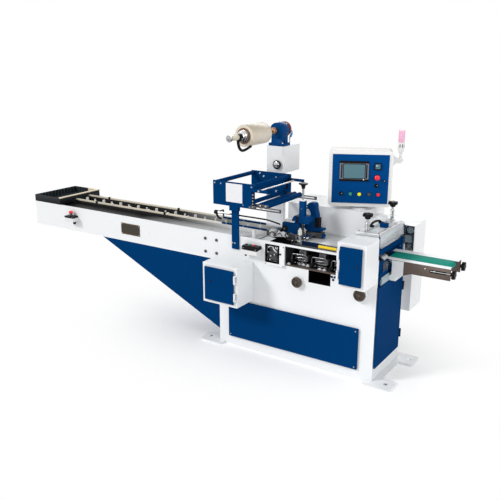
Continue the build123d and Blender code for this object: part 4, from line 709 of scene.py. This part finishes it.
def coder():
    s = Shape()
    s.plate(smooth_outline(LEVER), "Y", (72, 122))
    s.plate(smooth_outline(ARM), "Y", (-15, 74))
    s.plate(rounded((-212, -76), (911, 993), 11), "Y", (-35, 65))
    s.plate(rounded((-200, -90), (985, 1001), 7), "Y", (-22, 55))
    foot = [(-18, 877), (72, 877), (79, 890), (76, 907), (66, 909), (48, 899), (-14, 897)]
    s.plate(foot, "Y", (70, 122))
    piece("coder_casting", s, [CAST], 5.0, "coder_unit", turn_angle=50)
    s = Shape()
    s.block((-88, -44), (-7, 37), (1040, 1162))
    piece("coder_post", s, [CAST], 6.0)
    s = Shape()
    # Painted highlights: white plates on the top of the post and of the head, where the blue casting's tops catch the
    # light; a screw on the post.
    s.block((-90, -42), (-9, 39), (1161, 1168))
    s.block((-206, -112), (-34, 54), (998, 1006))
    s.paint = 1
    s.bolt((CODER_X, -7, 1104), -Y, 5, 3)
    piece("coder_lit_tops", s, [WHITE, GREASY], 0.8)
    s = Shape()
    s.turn((-186, -35, 944), -Y, [(24, -1), (24, 5), (20, 8), (9, 8), (9, 5), (0, 5)], 32)
    s.block((7, 36), (70, 118), (956, 1031))
    for i in range(6):
        s.block((36, 39), (72, 116), (960 + 12 * i, 966 + 12 * i))
    s.block((-100, -88), (-20, 50), (1000, 1046))
    s.paint = 1
    s.turn((-60, 98, 1095), X, [(13, -14), (13, 14)], 24)
    s.bolt((-186, -40, 944), -Y, 7, 5)
    s.paint = 2
    s.block((-66, 66), (66, 124), (877, 921))
    s.turn((CODER_X, CODER_Y, 905), Z, [(17, -28), (17, 20), (10, 20), (10, 88)])
    piece("coder_fittings", s, [PLASTIC, GREASY, DARK], 0.8)


def former():
    s = Shape()
    # Folded sheet nose, pressed shoulders and side wings of the film former. The nose is a flat black sheet in the
    # shadow material, painted shade under the shoulders.
    s.plate([(-290, 868), (-183, 886), (-176, 886), (-98, 870), (-98, 864), (-290, 864)], "Y", (-66, -60))
    s.plate([(-262, 868), (-181, 880), (-126, 868)], "Y", (-70, -66))
    piece("former_front", s, [SHADOW], 0.8)
    s = Shape()
    s.plate([(-158, 885), (-120, 932), (-76, 922), (-76, 862), (-96, 843)], "Y", (-76, -71))
    s.block((-150, -80), (-72, -60), (868, 876))
    # Painted highlights: the shoulder sheets and the flat plate over them take the white card colour, for the bright
    # spots on the steel former.
    s.paint = 1
    s.plate([(-318, 878), (-296, 908), (-272, 898), (-258, 878)], "Y", (-58, -55))
    s.plate([(-254, 878), (-230, 930), (-208, 918), (-186, 926), (-160, 914), (-142, 880)], "Y", (-57.5, -54.5))
    s.plate([(-330, 40), (-280, 30), (-270, -50), (-300, -56)], "Z", (905, 907))
    s.paint = 0
    for x in (-310, -262):
        s.turn((x, -64, 886), Y, [(9, 0), (9, 128)], 24)
    s.paint = 2
    s.tube([(-300, -60, 896), (-284, -62, 912), (-262, -62, 904), (-246, -60, 880)], 4, 8, 4)
    s.tube([(-238, -60, 892), (-214, -62, 912), (-196, -60, 888)], 3.5, 8, 4)
    s.turn((-158, -58, 902), -Y, [(15, 0), (15, 5), (9, 5), (9, 0)], 20, True)
    s.rod((-262, -60, 884), (-226, -60, 938), 3)
    piece("former_sheets", s, [GREASY, CARD, DARK], 0.6)
    s = Shape()
    for spot in ((-266, -70, 894), (-139, -78, 900), (-98, -78, 872), (-50, -66, 866), (-226, -70, 890)):
        s.bolt(spot, -Y, 6, 5)
    for i in range(3):
        s.turn((-60 + 26 * i, 60, 893), Y, [(13, -110), (14, -106), (14, 30), (13, 34)])
    s.turn((-54, -46, 884), Z, [(18, 0), (18, 12), (14, 14), (14, 24), (18, 26), (18, 36), (10, 38)])
    s.paint = 1
    s.turn((-52, -46, 919), Z, [(12, 0), (15, 2), (15, 34), (11, 38), (7, 39), (7, 49), (0, 49)])
    piece("former_rollers", s, [CHROME, LUG], 0.4)
    s = Shape()
    # Dark sheet that closes the gap in front of the bed, in the shadow material: painted shade of the gap. Then the
    # ribbed strip and plain strips on the apron
    s.block((-240, -62), (-230, -60), (864, 868))
    s.paint = 1
    s.block((-330, -240), (-230, -60), (864, 868))
    piece("front_sheet", s, [SHADOW, WHITE], 0.4)
    s = Shape()
    s.block((0, 132), (-112, -100), (840, 894))
    for i in range(9):
        s.block((4 + 14 * i, 12 + 14 * i), (-116, -110), (848, 892))
    piece("ribbed_strip", s, [NAVY], 0.6)
    s = Shape()
    s.block((134, 426), (-111.5, -104), (846, 878))
    s.paint = 1
    s.block((136, 280), (-114, -111), (862, 885))
    s.paint = 2
    s.block((-60, 428), (-66, -60), (826, 833))
    s.block((-40, 440), (-66, -56), (876, 880))
    piece("apron_strips", s, [CARD, LABEL, STEEL], 0.3)


coder()
former()


# Front of the body: gear window, fin seal levers, handwheels, screws
BODY_FRONT = -242
COVER_FRONT = -256
WHEEL_HEIGHT = 632.0
GEARS = (
    ((-180, 786), 38, 20, (-236, -222)),
    ((-137, 833), 31, 16, (-240, -226)),
    ((-186, 846), 22, 12, (-228, -214)),
    ((-132, 768), 19, 10, (-240, -224)),
)


def gear_window():
    s = Shape()
    for at, r, teeth, span in GEARS:
        s.gear(at, r, teeth, span)
        s.rod((at[0], -226, at[1]), (at[0], -152, at[1]), 8)
    s.paint = 1
    s.turn((-160, -206, 822), (0.3, -1, 0.2), [(10, -8), (11, -4), (11, 8), (9, 11), (0, 11)], 24)
    s.tube([(-214, -208, 850), (-190, -216, 862), (-150, -216, 858), (-118, -208, 850)], 4, 10, 5)
    s.tube([(-212, -214, 758), (-170, -220, 748), (-120, -214, 756)], 4, 10, 5)
    # Link, ring and screw heads in front of the gears in white card: painted highlights for glints on bright metal.
    # Brown guide strip
    s.paint = 2
    s.tube([(-202, -243, 848), (-184, -244, 858), (-164, -244, 858), (-151, -244, 836), (-130, -243, 822)], 4.5, 8, 4)
    s.turn((-131, BODY_FRONT, 854), -Y, [(10, 0), (10, 5), (6, 5), (6, 0)], 20, True)
    s.bolts(((-180, 786), (-187, 757), (-148, 800), (-204, 812)), BODY_FRONT, -Y, 4.5, 4)
    s.paint = 3
    s.block((-137, -126), (BODY_FRONT, -238), (750, 804))
    piece("window_gears", s, [DARK, GREASY, CARD, PLATE], 0.3)
    s = Shape()
    s.bolts(product((-216, -68), (727, 869)), COVER_FRONT, -Y, 4, 2.4)
    s.paint = 1
    s.turn((-92, COVER_FRONT, 814), -Y, [(7, -1), (7, 4), (5, 6), (0, 6)], 20)
    # Painted shade: dark bands round the window and round the scrap opening below, dark sheets on the window's left and
    # bottom reveals, and a dark lining inside the scrap opening
    s.rim((-221, -101), (-257, -255.5), (738, 876), (-215, -112), (746, 865))
    s.block((-215.5, -213.2), (-256.5, -240), (746, 865))
    s.block((-214, -112), (-256.5, -240), (745, 747.2))
    s.rim((132, 304), (-243, -241.5), (644, 738), (141, 296), (651, 729))
    s.block((138, 299), (-242.5, -112), (645, 651.5))
    for x in (138, 295.5):
        s.block((x, x + 3.5), (-242.5, -112), (645, 731))
    piece("cover_screws", s, [GREASY, SHADOW], 0.3)


def fin_levers():
    s = Shape()
    for x in (-25, 135, 289):
        # Dark heater block and wheel pair behind each lever
        s.paint = 1
        s.block((x + 8, x + 112), (-170, -110), (766, 802))
        s.block((x + 30, x + 84), (-150, -108), (802, 838))
        s.turn((x + 52, -172, 790), -Y, [(16, -4), (16, 8), (12, 12), (0, 12)], 24)
        s.paint = 0
        lever = [
            (0, -208, 768), (2, -208, 798), (7, -208, 817), (26, -207, 821), (96, -206, 823), (116, -204, 815),
            (124, -196, 796), (124, -168, 788),
        ]
        s.tube([(x + dx, y, z) for dx, y, z in lever], 2.5, 10, 5)
        s.tube([(x + 18, -196, 776), (x + 36, -198, 792), (x + 92, -196, 797), (x + 110, -190, 786)], 2.2, 10, 5)
        s.paint = 3
        s.block((x + 34, x + 106), (-178, -168), (764, 774))
        s.block((x + 34, x + 106), (-184, -172), (746, 754))
        s.turn((x + 12, -192, 750), (1, 0, 0.35), [(6, -16), (7, -13), (7, 13), (6, 16)], 20)
        s.rod((x + 60, -172, 806), (x + 60, -108, 806), 6)
        s.bolt((x + 100, -170, 790), -Y, 5, 4)
        s.bolt((x + 36, -150, 826), -Y, 5, 4)
        s.spring((x + 76, -152, 806), 7, 1.5, 6, 26)
        s.paint = 2
        s.turn((x, -204, 762), (0, -1, 0.15), [(6, -10), (14, -8), (17, -2), (17, 6), (13, 12), (0, 14)])
    piece("fin_levers", s, [GREASY, DARK, PLASTIC, GREASY], 0.6, "fin_seal_units")
    s = Shape()
    s.block((-58, 426), (-243.6, -222), (734, 742.5))
    s.paint = 1
    s.block((-58, 426), (-222, -110), (738, 740.5))
    s.block((-60.5, -57), (-242.5, -110), (740, 874))
    s.block((-58, 140), (-129, -119), (842, 850))
    s.block((-58, 426), (-122, -111), (858, 866))
    # Pale clamps on the recess floor
    s.paint = 2
    for x, y in ((-52, -226), (10, -176), (46, -182), (84, -190), (192, -216), (228, -216), (330, -200), (366, -206)):
        s.block((x, x + 26), (y - 7, y + 7), (740, 747))
        s.block((x + 8, x + 18), (y - 5, y + 5), (746, 754))
    piece("recess_lip", s, [BROWN, DARK, CARD], 0.4)


def handwheel(x, r, body):
    hub = Vector((x, COVER_FRONT, WHEEL_HEIGHT))
    s = Shape()
    grip = [(r * 0.74, 1), (r - 2, 1), (r, 4), (r, 14), (r - 2, 17), (r * 0.8, 18), (r * 0.74, 16)]
    s.turn(hub, -Y, grip, 48, True)
    s.turn(hub, -Y, [(r * 0.78, 3), (r * 0.78, 9), (0, 9)], 40)
    for out in around(20):
        s.turn(hub + out * (r - 1.8), -Y, [(0, 1), (2.8, 3), (2.8, 14), (0, 16)], 8)
    for out in around(3, 0.5):
        s.tube([hub - Y * 11 + out * 6, hub - Y * 13 + out * (r * 0.82)], 5, 10, 0, 4)
    s.rod(hub, hub + Y * 54, 7)
    s.paint = 1
    s.turn(hub, -Y, [(10, 6), (10, 15), (7, 17.5), (0, 17.8)], 24)
    piece(body + "_wheel", s, [BRONZE, DARK], 0.4, body, body)


def small_screws():
    s = Shape()
    for y, out in ((-260, -Y), (260, Y)):
        s.bolts(product((-530, 516), (96, 364)), y, out, 5, 3)
    for y, out in ((BODY_FRONT, -Y), (-BODY_FRONT, Y)):
        for x, z in product((-773, -667), (724, 828)):
            s.paint = 1
            s.turn((x, y, z), out, [(14, -0.5), (14, 1.4), (0, 1.4)], 24)
            s.paint = 2
            s.bolt(Vector((x, y, z)) + out * 1.4, out, 10.5, 6)
    s.paint = 0
    for x, y in product((-743, 743), (-231, 231)):
        s.turn((x, y, 15), Z, [(7, -14), (13, -14), (13, -12), (13, 1.6), (7, 2.4)], 24, True)
    piece("panel_screws", s, [STEEL, STEEL, DARK], 0.3)
    s = Shape()
    s.bolts(((314, 717), (336, 718), (325, 697)), BODY_FRONT, -Y, 9, 4)
    piece("dark_screws", s, [NAVY], 0.3)
    s = Shape()
    s.plate(rounded((-1661, -1451), (735, 831), 5), "Y", (BODY_FRONT - 2, BODY_FRONT))
    s.paint = 1
    s.rim((-1659, -1453), (-244.6, -243.5), (737, 829), (-1655, -1457), (741, 825))
    piece("blank_plate", s, [PLATE, CORE], 0.4)
    s = Shape()
    s.bolts(product((-1652, -1460), (744, 822)), BODY_FRONT - 2, -Y, 4, 2)
    piece("plate_rivets", s, [GUIDE], 0.2)


def door_lock(at, body, name):
    x, y, z = at
    s = Shape()
    s.turn(at, -Y, [(9, -1), (9, 2), (7.5, 3.5), (5, 3.5), (5, 2), (0, 2)])
    s.paint = 1
    s.block((x - 1.2, x + 1.2), (y - 3.4, y - 1.5), (z - 5, z + 5))
    piece(name, s, [NAVY, DARK], 0.3, body=body)


gear_window()
fin_levers()
handwheel(49.08, 39.0, "handwheel_left")
handwheel(532.0, 42.0, "handwheel_right")
small_screws()
door_lock((-568, -471, 584), "control_box_door", "box_lock")
door_lock((591, -459, 896), "jaw_guard_door", "guard_lock")


# Infeed: chain, lugs, guides, hold-down rod, tray, button stations
CHAIN_LEFT = -2620.8
CHAIN_RIGHT = -405.2
CHAIN_Y = 15
CHAIN_MID = 805.0
CHAIN_BEND = 69.0
CHAIN_PITCH = 38
LINK_END = 6
LUGS = 10
LUG_FIRST = -437
LUG_PITCH = 210
STATION_X = -2237


def on_chain(s):
    """Place and heading on the chain loop after a length s, starting at the top left."""
    run = CHAIN_RIGHT - CHAIN_LEFT
    bend = math.pi * CHAIN_BEND
    if s < run:
        return Vector((CHAIN_LEFT + s, CHAIN_Y, CHAIN_MID + CHAIN_BEND)), 0.0
    s -= run
    if s < bend:
        a = s / CHAIN_BEND
        return Vector((CHAIN_RIGHT + CHAIN_BEND * math.sin(a), CHAIN_Y, CHAIN_MID + CHAIN_BEND * math.cos(a))), a
    s -= bend
    if s < run:
        return Vector((CHAIN_RIGHT - s, CHAIN_Y, CHAIN_MID - CHAIN_BEND)), math.pi
    a = (s - run) / CHAIN_BEND
    spot = Vector((CHAIN_LEFT - CHAIN_BEND * math.sin(a), CHAIN_Y, CHAIN_MID - CHAIN_BEND * math.cos(a)))
    return spot, math.pi + a


def chain():
    s = Shape()
    total = 2 * (CHAIN_RIGHT - CHAIN_LEFT) + 2 * math.pi * CHAIN_BEND
    count = 2 * round(total / (2 * CHAIN_PITCH))
    reach = total / count / 2
    arc = [math.radians(45 * i - 90) for i in range(5)]
    link = [(end * (reach + LINK_END * math.cos(a)), end * LINK_END * math.sin(a)) for end in (1, -1) for a in arc]
    for i in range(count):
        at, turn = on_chain(total * (i + 0.5) / count)
        s.place = Matrix.Translation(at) @ Matrix.Rotation(turn, 4, "Y")
        s.paint = i % 2
        for y in ((-11, -8.5), (8.5, 11)) if i % 2 else ((-8.4, -6), (6, 8.4)):
            s.plate(link, "Y", y)
        at, turn = on_chain(total * i / count)
        s.place = Matrix.Translation(at) @ Matrix.Rotation(turn, 4, "Y")
        s.turn((0, -12, 0), Y, [(3, 0), (3, 6), (5.5, 6), (5.5, 18), (3, 18), (3, 24)], 10)
    piece("chain_links", s, [DARK, STEEL], 0.0, "infeed_chain")


def lugs():
    s = Shape()
    outline = [(-14, -3), (14, -3), (14, 4), (5, 6), (5, 40), (3, 44), (-4, 44), (-5, 38), (-5, 6), (-14, 4)]
    for i in range(LUGS):
        x = LUG_FIRST - LUG_PITCH * i
        for side, base in ((1, 880), (-1, 730)):
            s.plate([(x + p[0], base + side * p[1]) for p in outline], "Y", (3, 27))
        if i < LUGS - 1:
            s.plate([(x - 116, 879), (x - 103, 879), (x - 108, 918), (x - 114, 918)], "Y", (8, 22))
    piece("lug_fingers", s, [LUG], 0.8, "chain_lugs")


def guides():
    s = Shape()
    for k in range(6):
        s.turn((-2141 + 212 * k, -63, 921), Z, [(9, -2), (9, 4), (7, 7), (0, 7)], 20)
    piece("guide_screws", s, [LUG], 0.4)
    s = Shape()
    for spot in ((-2121, 93, 916), (-1307, 93, 916), (-2121, -63, 908), (-1329, -63, 908)):
        s.turn(spot, Z, [(11, 0), (12, 3), (12, 14), (9, 19), (0, 20)], 20)
    s.tube([(-852, 110, 878), (-852, 110, 975)], 6)
    s.tube([(-852, 15, 975), (-846, 15, 950), (-828, 15, 932), (-806, 15, 926)], 8, 12, 5)
    s.tube([(-852, 110, 972), (-852, 15, 975)], 6)
    s.turn((-852, 15, 975), X, [(10, -18), (16, -15), (17, -6), (17, 8), (13, 14), (6, 16)], 24)
    s.tube([(-720, 15, 975), (-420, 15, 975), (-372, 15, 973.5), (-312, 15, 965), (-257, 15, 955)], 6, 12, 6)
    s.paint = 1
    s.turn((-838, 15, 975), X, [(8, 0), (8, 118), (6.5, 122)], 20)
    s.paint = 2
    s.plate(rounded((-740, -330), (910, 924), 3), "Y", (-66, -58))
    s.plate(rounded((-840, -430), (910, 924), 3), "Y", (88, 96))
    s.paint = 1
    for x in (-700, -540, -380):
        s.bolt((x, -66, 917), -Y, 4.5, 3)
        s.bolt((x - 100, 88, 917), -Y, 4.5, 3)
    piece("hold_down", s, [PLASTIC, STEEL, BLUE], 0.5, "guide_bars")


def tray_trim():
    s = Shape()
    s.block((-2422, -2400), (-242, 242), (946, 953.5))
    s.block((-2540, -2408), (225, 235), (905, 951))
    s.block((-2540, -2408), (233, 242.5), (948, 953))
    piece("tray_strip", s, [CREAM], 0.4)
    s = Shape()
    pitch = 38.5
    for i in range(12):
        y = -212 + pitch * i
        s.block((-2722, -2420), (y - 2, y + 2), (899, 903))
        s.turn((-2728, y, 900), Z, [(8, 0), (8, 48)], 16)
    for i in range(4):
        s.turn((-2700 + pitch * i, 235, 900), Z, [(7, 0), (7, 48)], 16)
    piece("tray_floor_ribs", s, [RIB], 0.6)


def stations():
    s = Shape()
    x = STATION_X
    s.plate(rounded((x - 54, x + 54), (768, 804), 8), "Y", (-302, BODY_FRONT))
    s.plate([(-302, 782), (-242, 782), (-242, 826), (-292, 826), (-302, 818)], "X", (-393, -263))
    s.paint = 1
    s.plate(rounded((x - 55, x + 55), (802, 818), 6), "Y", (-303, BODY_FRONT))
    s.plate([(-304, 816), (-242, 822), (-242, 846), (-292, 845), (-304, 834)], "X", (-395, -261))
    s.turn((x + 34, -270, 768), -Z, [(15, -2), (15, 8), (12, 10), (12, 20), (7, 23), (0, 23)], 20)
    s.turn((-380, -270, 782), -Z, [(10, -2), (10, 6), (8, 8), (8, 20), (5, 23), (0, 23)], 20)
    s.paint = 2
    s.bolts(((x - 46, 810), (x + 46, 810)), -303, -Y, 4, 2)
    s.bolts(((-382, 828), (-274, 828)), -303.5, -Y, 4, 2)
    piece("station_boxes", s, [GREY, PLASTIC, CHROME], 1.6, "button_stations")
    s = Shape()
    s.turn((x, -272, 818), Z, [(12, 21), (17, 23), (19, 30), (18, 37), (12, 43), (0, 44)], 32)
    s.paint = 1
    s.turn((x, -272, 818), Z, [(16, -1), (16, 5), (12, 6), (12, 22), (0, 22)])
    for button, paint in ((-312, 0), (-344, 2)):
        s.paint = 1
        s.turn((button, -272, 845), Z, [(14, -2), (14, 4), (0, 4)], 24)
        s.paint = paint
        s.turn((button, -272, 846), Z, [(11, 0), (11, 8), (9, 10), (0, 10.5)], 24)
    piece("push_buttons", s, [RED, DARK, GREEN], 0.5, "station_buttons")


chain()
lugs()
guides()
tray_trim()
stations()


# Jaw knobs, springs, jaw details and the outfeed
POST_X = 545
POST_SIDES = (-218, 218)
JAWS = (-206, 206)
TENSION_Z = 822
TENSION_SIDES = (-59, 159)


def star(s, at, axis, r, h, lobes=6):
    """A moulded star knob that stands on a point, along an axis."""
    s.turn(at, axis, [(r * 0.62, 0), (r * 0.72, h * 0.2), (r * 0.74, h * 0.7), (r * 0.6, h * 0.94), (0, h)], 36)
    lobe = [(r * 0.22, h * 0.06), (r * 0.3, h * 0.2), (r * 0.3, h * 0.7), (r * 0.2, h * 0.9), (0, h * 0.93)]
    for out in around(lobes, 0.0, across(axis)):
        s.turn(Vector(at) + out * (r * 0.7), axis, lobe, 16)


def knobs():
    s = Shape()
    for y in POST_SIDES:
        star(s, (POST_X, y, 1169), Z, 36, 24)
        s.turn((POST_X, y, 1155), Z, [(14, -2), (19, 2), (21, 12), (20, 16)])
    cap = [(9, -4), (13, 0), (15, 14), (19, 24), (31, 29), (35, 33), (34.5, 37), (26, 40), (0, 40)]
    s.turn((CODER_X, CODER_Y, 1252), Z, cap, 40)
    for y in TENSION_SIDES:
        star(s, (1078, y, TENSION_Z), X, 33, 25)
        s.rod((1070, y, TENSION_Z), (1080, y, TENSION_Z), 12, 16)
    s.paint = 1
    for y in POST_SIDES:
        s.rod((POST_X, y, 1040), (POST_X, y, 1158), 8)
        s.turn((POST_X, y, 1062), Z, [(8, 0), (17, 0), (17, 4), (15, 6), (8, 6)], 28, True)
        s.turn((POST_X, y, 1128), Z, [(8, 0), (15, 0), (15, 5), (8, 6)], 28, True)
        s.spring((POST_X, y, 1068), 12.5, 2.4, 7, 60)
    s.rod((CODER_X, CODER_Y, 1166), (CODER_X, CODER_Y, 1256), 8)
    for i in range(16):
        s.turn((CODER_X, CODER_Y, 1172 + 5 * i), Z, [(8, 0), (9, 1), (8, 2)], 16, True)
    for y in TENSION_SIDES:
        s.rod((1066, y, TENSION_Z), (1084, y, TENSION_Z), 3)
    piece("black_knobs", s, [PLASTIC, STEEL], 0.7, "adjuster_knobs", turn_angle=50)


def jaw_fittings():
    s = Shape()
    # Blue cross body behind the exit panel and clamp blocks above the clear cover
    s.plate([(606, 905), (626, 905), (628, 940), (618, 950), (606, 950)], "Y", JAWS)
    s.plate(rounded((560, 612), (1062, 1092), 6), "Y", (-46, -8))
    s.paint = 1
    s.block((626, 628.5), (-205, 205), (976, 1038))
    s.block((472, 560), (-205, 205), (1028, 1034))
    piece("jaw_cross", s, [BLUE, PALE], 3.0)
    s = Shape()
    s.tube([(512, -66, 1062), (506, -58, 1078), (508, 4, 1086), (520, 56, 1080), (524, 66, 1062)], 8, 14, 6)
    s.block((500, 526), (-78, -52), (1062, 1074))
    s.block((512, 538), (52, 78), (1062, 1074))
    s.paint = 1
    s.block((486, 534), (110, 168), (1062, 1096))
    s.paint = 2
    for x, y in product((478, 620), (-196, -96, 96, 196)):
        s.bolt((x, y, 1062), Z, 5, 4)
    s.turn((590, -27, 1092), Z, [(9, 0), (9, 8), (0, 9)], 6)
    for y, out in zip(JAWS, (Y, -Y)):
        s.bolts(((622, 790), (622, 880), (622, 1010)), y, out, 5, 4)
    piece("cover_fittings", s, [PLASTIC, WHITE, GREASY], 0.8)
    s = Shape()
    # Steel bar at the foot of the clear panel, chrome nose, fan fins and chute at the exit
    s.plate([(632, 962), (644, 960), (644, 972), (634, 974)], "Y", JAWS)
    s.plate([(584, 874), (640, 862), (648, 866), (648, 874), (610, 900), (584, 904)], "Y", (-150, -66))
    for i in range(6):
        s.plate([(640, 786), (646, 786), (648, 852), (638, 852)], "Y", (-150 + 15 * i, -147 + 15 * i))
    s.paint = 1
    s.plate([(645, 700), (652, 700), (660, 740), (652, 760), (645, 740)], "Y", (-190, -64))
    s.paint = 0
    s.plate([(640, 736), (672, 726), (700, 746), (696, 750), (670, 734), (640, 744)], "Y", (-56, 86))
    piece("exit_plates", s, [STEEL, PALE], 0.5)
    s = Shape()
    s.block((636, 645), (-206, -64), (690, 790))
    s.block((628, 638), JAWS, (690, 866))
    # Painted shade: a dark strip above the blue cross body, where the gap lies in shade.
    s.paint = 1
    s.block((606, 631), JAWS, (951, 962))
    piece("exit_panel", s, [BLUE, SHADOW], 0.6)
    s = Shape()
    # Edges of the clear guard in white card: painted highlights where the polished edges catch the light
    s.block((629, 634), JAWS, (1060, 1063.5))
    s.block((470, 632), (-230.8, -228), (1057, 1063))
    for y in (-207, 205):
        s.plate([(628, 1062), (633, 1062), (641, 967), (636, 967)], "Y", (y, y + 2))
    piece("guard_edges", s, [CARD], 0.4)
    s = Shape()
    # Drive parts in the housing's mouth
    s.block((620, 706), (300, 304), (845, 1025))
    s.paint = 1
    s.block((634, 682), (262, 300), (896, 948))
    s.turn((664, 300, 985), -Y, [(26, 0), (26, 22), (22, 26), (10, 26), (10, 34), (0, 34)])
    s.turn((660, 300, 868), -Y, [(20, 0), (20, 20), (8, 20), (8, 30), (0, 30)])
    s.paint = 2
    s.bolts(((673, 1012), (690, 901), (630, 900), (690, 1000), (632, 1004)), 300, -Y, 6, 10)
    s.paint = 3
    s.block((622, 627), (250, 256), (848, 900))
    piece("drive_parts", s, [GREASY, PALE, CHROME, COPPER], 0.6)


def outfeed():
    s = Shape()
    for y in ((-64, -62), (162, 164)):
        s.plate([(646, 708), (753, 756), (753, 853), (672, 853), (672, 750), (646, 730)], "Y", y)
        s.block((610, 1070), y, (856, 867))
    s.block((610, 1070), (-63, -45), (867, 868.6))
    s.block((610, 1070), (100, 163), (867, 868.6))
    piece("outfeed_rails", s, [WHITE], 0.4)
    # Painted shade: the tension slots are dark plates in the shadow material on the rails' faces.
    s = Shape()
    for y in ((-62.6, -62), (162, 162.6)):
        s.plate(rounded((930, 1046), (812, 832), 9), "Y", y)
    piece("tension_slots", s, [SHADOW], 0.2)
    s = Shape()
    for y, out in ((-62.5, -Y), (162.5, Y)):
        s.tube([(936, y, TENSION_Z), (1074, y, TENSION_Z)], 3.2)
        s.turn((958, y, TENSION_Z), X, [(6.5, 0), (6.5, 10)], 6)
        s.bolt((900, y, 833), out, 6, 4)
    piece("outfeed_screws", s, [CHROME], 0.3)


knobs()
jaw_fittings()
outfeed()


# Rear of the machine: cabinet door, vents, latches
def rear_details():
    s = Shape()
    s.plate(rounded((-292, 302), (424, 1046), 6), "Y", (608, 610.8))
    s.plate(rounded((350, 692), (424, 1000), 6), "Y", (466, 469.5))
    piece("rear_doors", s, [WHITE], 0.8)
    s = Shape()
    for i in range(7):
        z = 470 + 16 * i
        s.plate([(609, z), (612, z + 1), (610.5, z + 8)], "X", (-120, 130))
        s.plate([(468, z), (471.5, z + 1), (469.8, z + 8)], "X", (430, 620))
    piece("rear_louvres", s, [WHITE], 0.2)
    s = Shape()
    for z in (640, 860):
        s.turn((270, 610.5, z), Y, [(12, -1), (12, 0.8), (9, 1.6), (0, 1.6)], 24)
    s.turn((668, 469.5, 720), Y, [(11, -1), (11, 2), (9, 3.5), (0, 3.5)], 24)
    s.bolts(product((-278, 288), (438, 1032)), 610.6, Y, 5, 1.4)
    piece("rear_latches", s, [CHROME], 0.3)


rear_details()


# Stage, in metres
FLOOR_SIDE = 30.0
FLOOR_COLOR = (0.97, 0.97, 0.97, 1)
SHADOW_REACH = (0.35, 1.25)
SKY_STRENGTH = 0.58
PLAIN_WHITE = (1, 1, 1, 1)


def rays(tree):
    """1 for rays from the camera, from gloss and through glass."""
    path = node(tree, "LightPath", {}).outputs
    first = node(tree, "Math", {0: path["Is Glossy Ray"], 1: path["Is Transmission Ray"]}, operation="MAXIMUM")
    both = node(tree, "Math", {0: path["Is Camera Ray"], 1: first.outputs["Value"]}, operation="MAXIMUM")
    return both.outputs["Value"]


def white_beyond(tree, share, lit, kind, out_socket):
    """Plain white in place of a lit shader, by a share from 0 to 1."""
    glow = node(tree, kind, {"Color": PLAIN_WHITE, "Strength": 1.0})
    mix = node(tree, "MixShader", {"Fac": share, 1: lit, 2: glow.outputs[0]})
    tree.links.new(mix.outputs["Shader"], out_socket)


def floor_material():
    """A pale floor that keeps the shadow near the machine and turns plain white further out."""
    mat = bpy.data.materials.new("floor")
    mat.use_nodes = True
    tree = mat.node_tree
    paint = tree.nodes["Principled BSDF"]
    fill(tree, paint, {"Base Color": FLOOR_COLOR, "Roughness": 0.9, "Specular IOR Level": 0.1})
    place = node(tree, "TexCoord", {}).outputs["Object"]
    oval = node(tree, "Mapping", {"Vector": place, "Location": (0.2, 0, 0), "Scale": (0.6, 1.0, 1.0)})
    far = node(tree, "VectorMath", {0: oval.outputs["Vector"]}, operation="LENGTH").outputs["Value"]
    ends = {"From Min": SHADOW_REACH[0], "From Max": SHADOW_REACH[1]}
    span = node(tree, "MapRange", {"Value": far, **ends}, interpolation_type="SMOOTHSTEP")
    share = node(tree, "Math", {0: span.outputs["Result"], 1: rays(tree)}, operation="MULTIPLY")
    out = tree.nodes["Material Output"].inputs["Surface"]
    white_beyond(tree, share.outputs["Value"], paint.outputs["BSDF"], "Emission", out)
    return mat


def stage():
    side = FLOOR_SIDE
    mesh = bpy.data.meshes.new("floor")
    mesh.from_pydata([(-side, -side, 0), (side, -side, 0), (side, side, 0), (-side, side, 0)], [], [(0, 1, 2, 3)])
    mesh.materials.append(floor_material())
    show("floor", mesh)
    world = bpy.data.worlds.new("studio")
    bpy.context.scene.world = world
    world.use_nodes = True
    tree = world.node_tree
    sky = tree.nodes["Background"]
    fill(tree, sky, {"Color": PLAIN_WHITE, "Strength": SKY_STRENGTH})
    out = tree.nodes["World Output"].inputs["Surface"]
    white_beyond(tree, rays(tree), sky.outputs["Background"], "Background", out)


def light(name, kind, power, aim):
    """A lamp that shines along a direction."""
    data = bpy.data.lights.new(name, kind)
    data.energy = power
    obj = show(name, data)
    obj.rotation_euler = Vector(aim).to_track_quat("-Z", "Y").to_euler()
    return obj


def lamp(name, at, towards, size, power):
    obj = light(name, "AREA", power, Vector(towards) - Vector(at))
    obj.data.size = size
    obj.location = at


def sun(name, towards, strength, angle):
    light(name, "SUN", strength, towards).data.angle = math.radians(angle)


def camera():
    data = bpy.data.cameras.new("camera")
    data.lens = CAMERA_LENS
    data.sensor_width = CAMERA_SENSOR
    obj = show("camera", data)
    obj.location = CAMERA_AT
    obj.rotation_euler = (math.radians(90 - CAMERA_DOWN), 0, math.radians(CAMERA_TURN))
    bpy.context.scene.camera = obj


stage()
sun("key", (6.4, 7.6, -6.7), 1.75, 14)
lamp("side", (5.0, -1.5, 3.5), (0, 0, 0.8), 3.0, 110)
lamp("rear", (-2.0, 4.5, 4.0), (-0.5, 0, 0.8), 3.0, 75)
camera()
bpy.context.scene.view_settings.view_transform = "Standard"
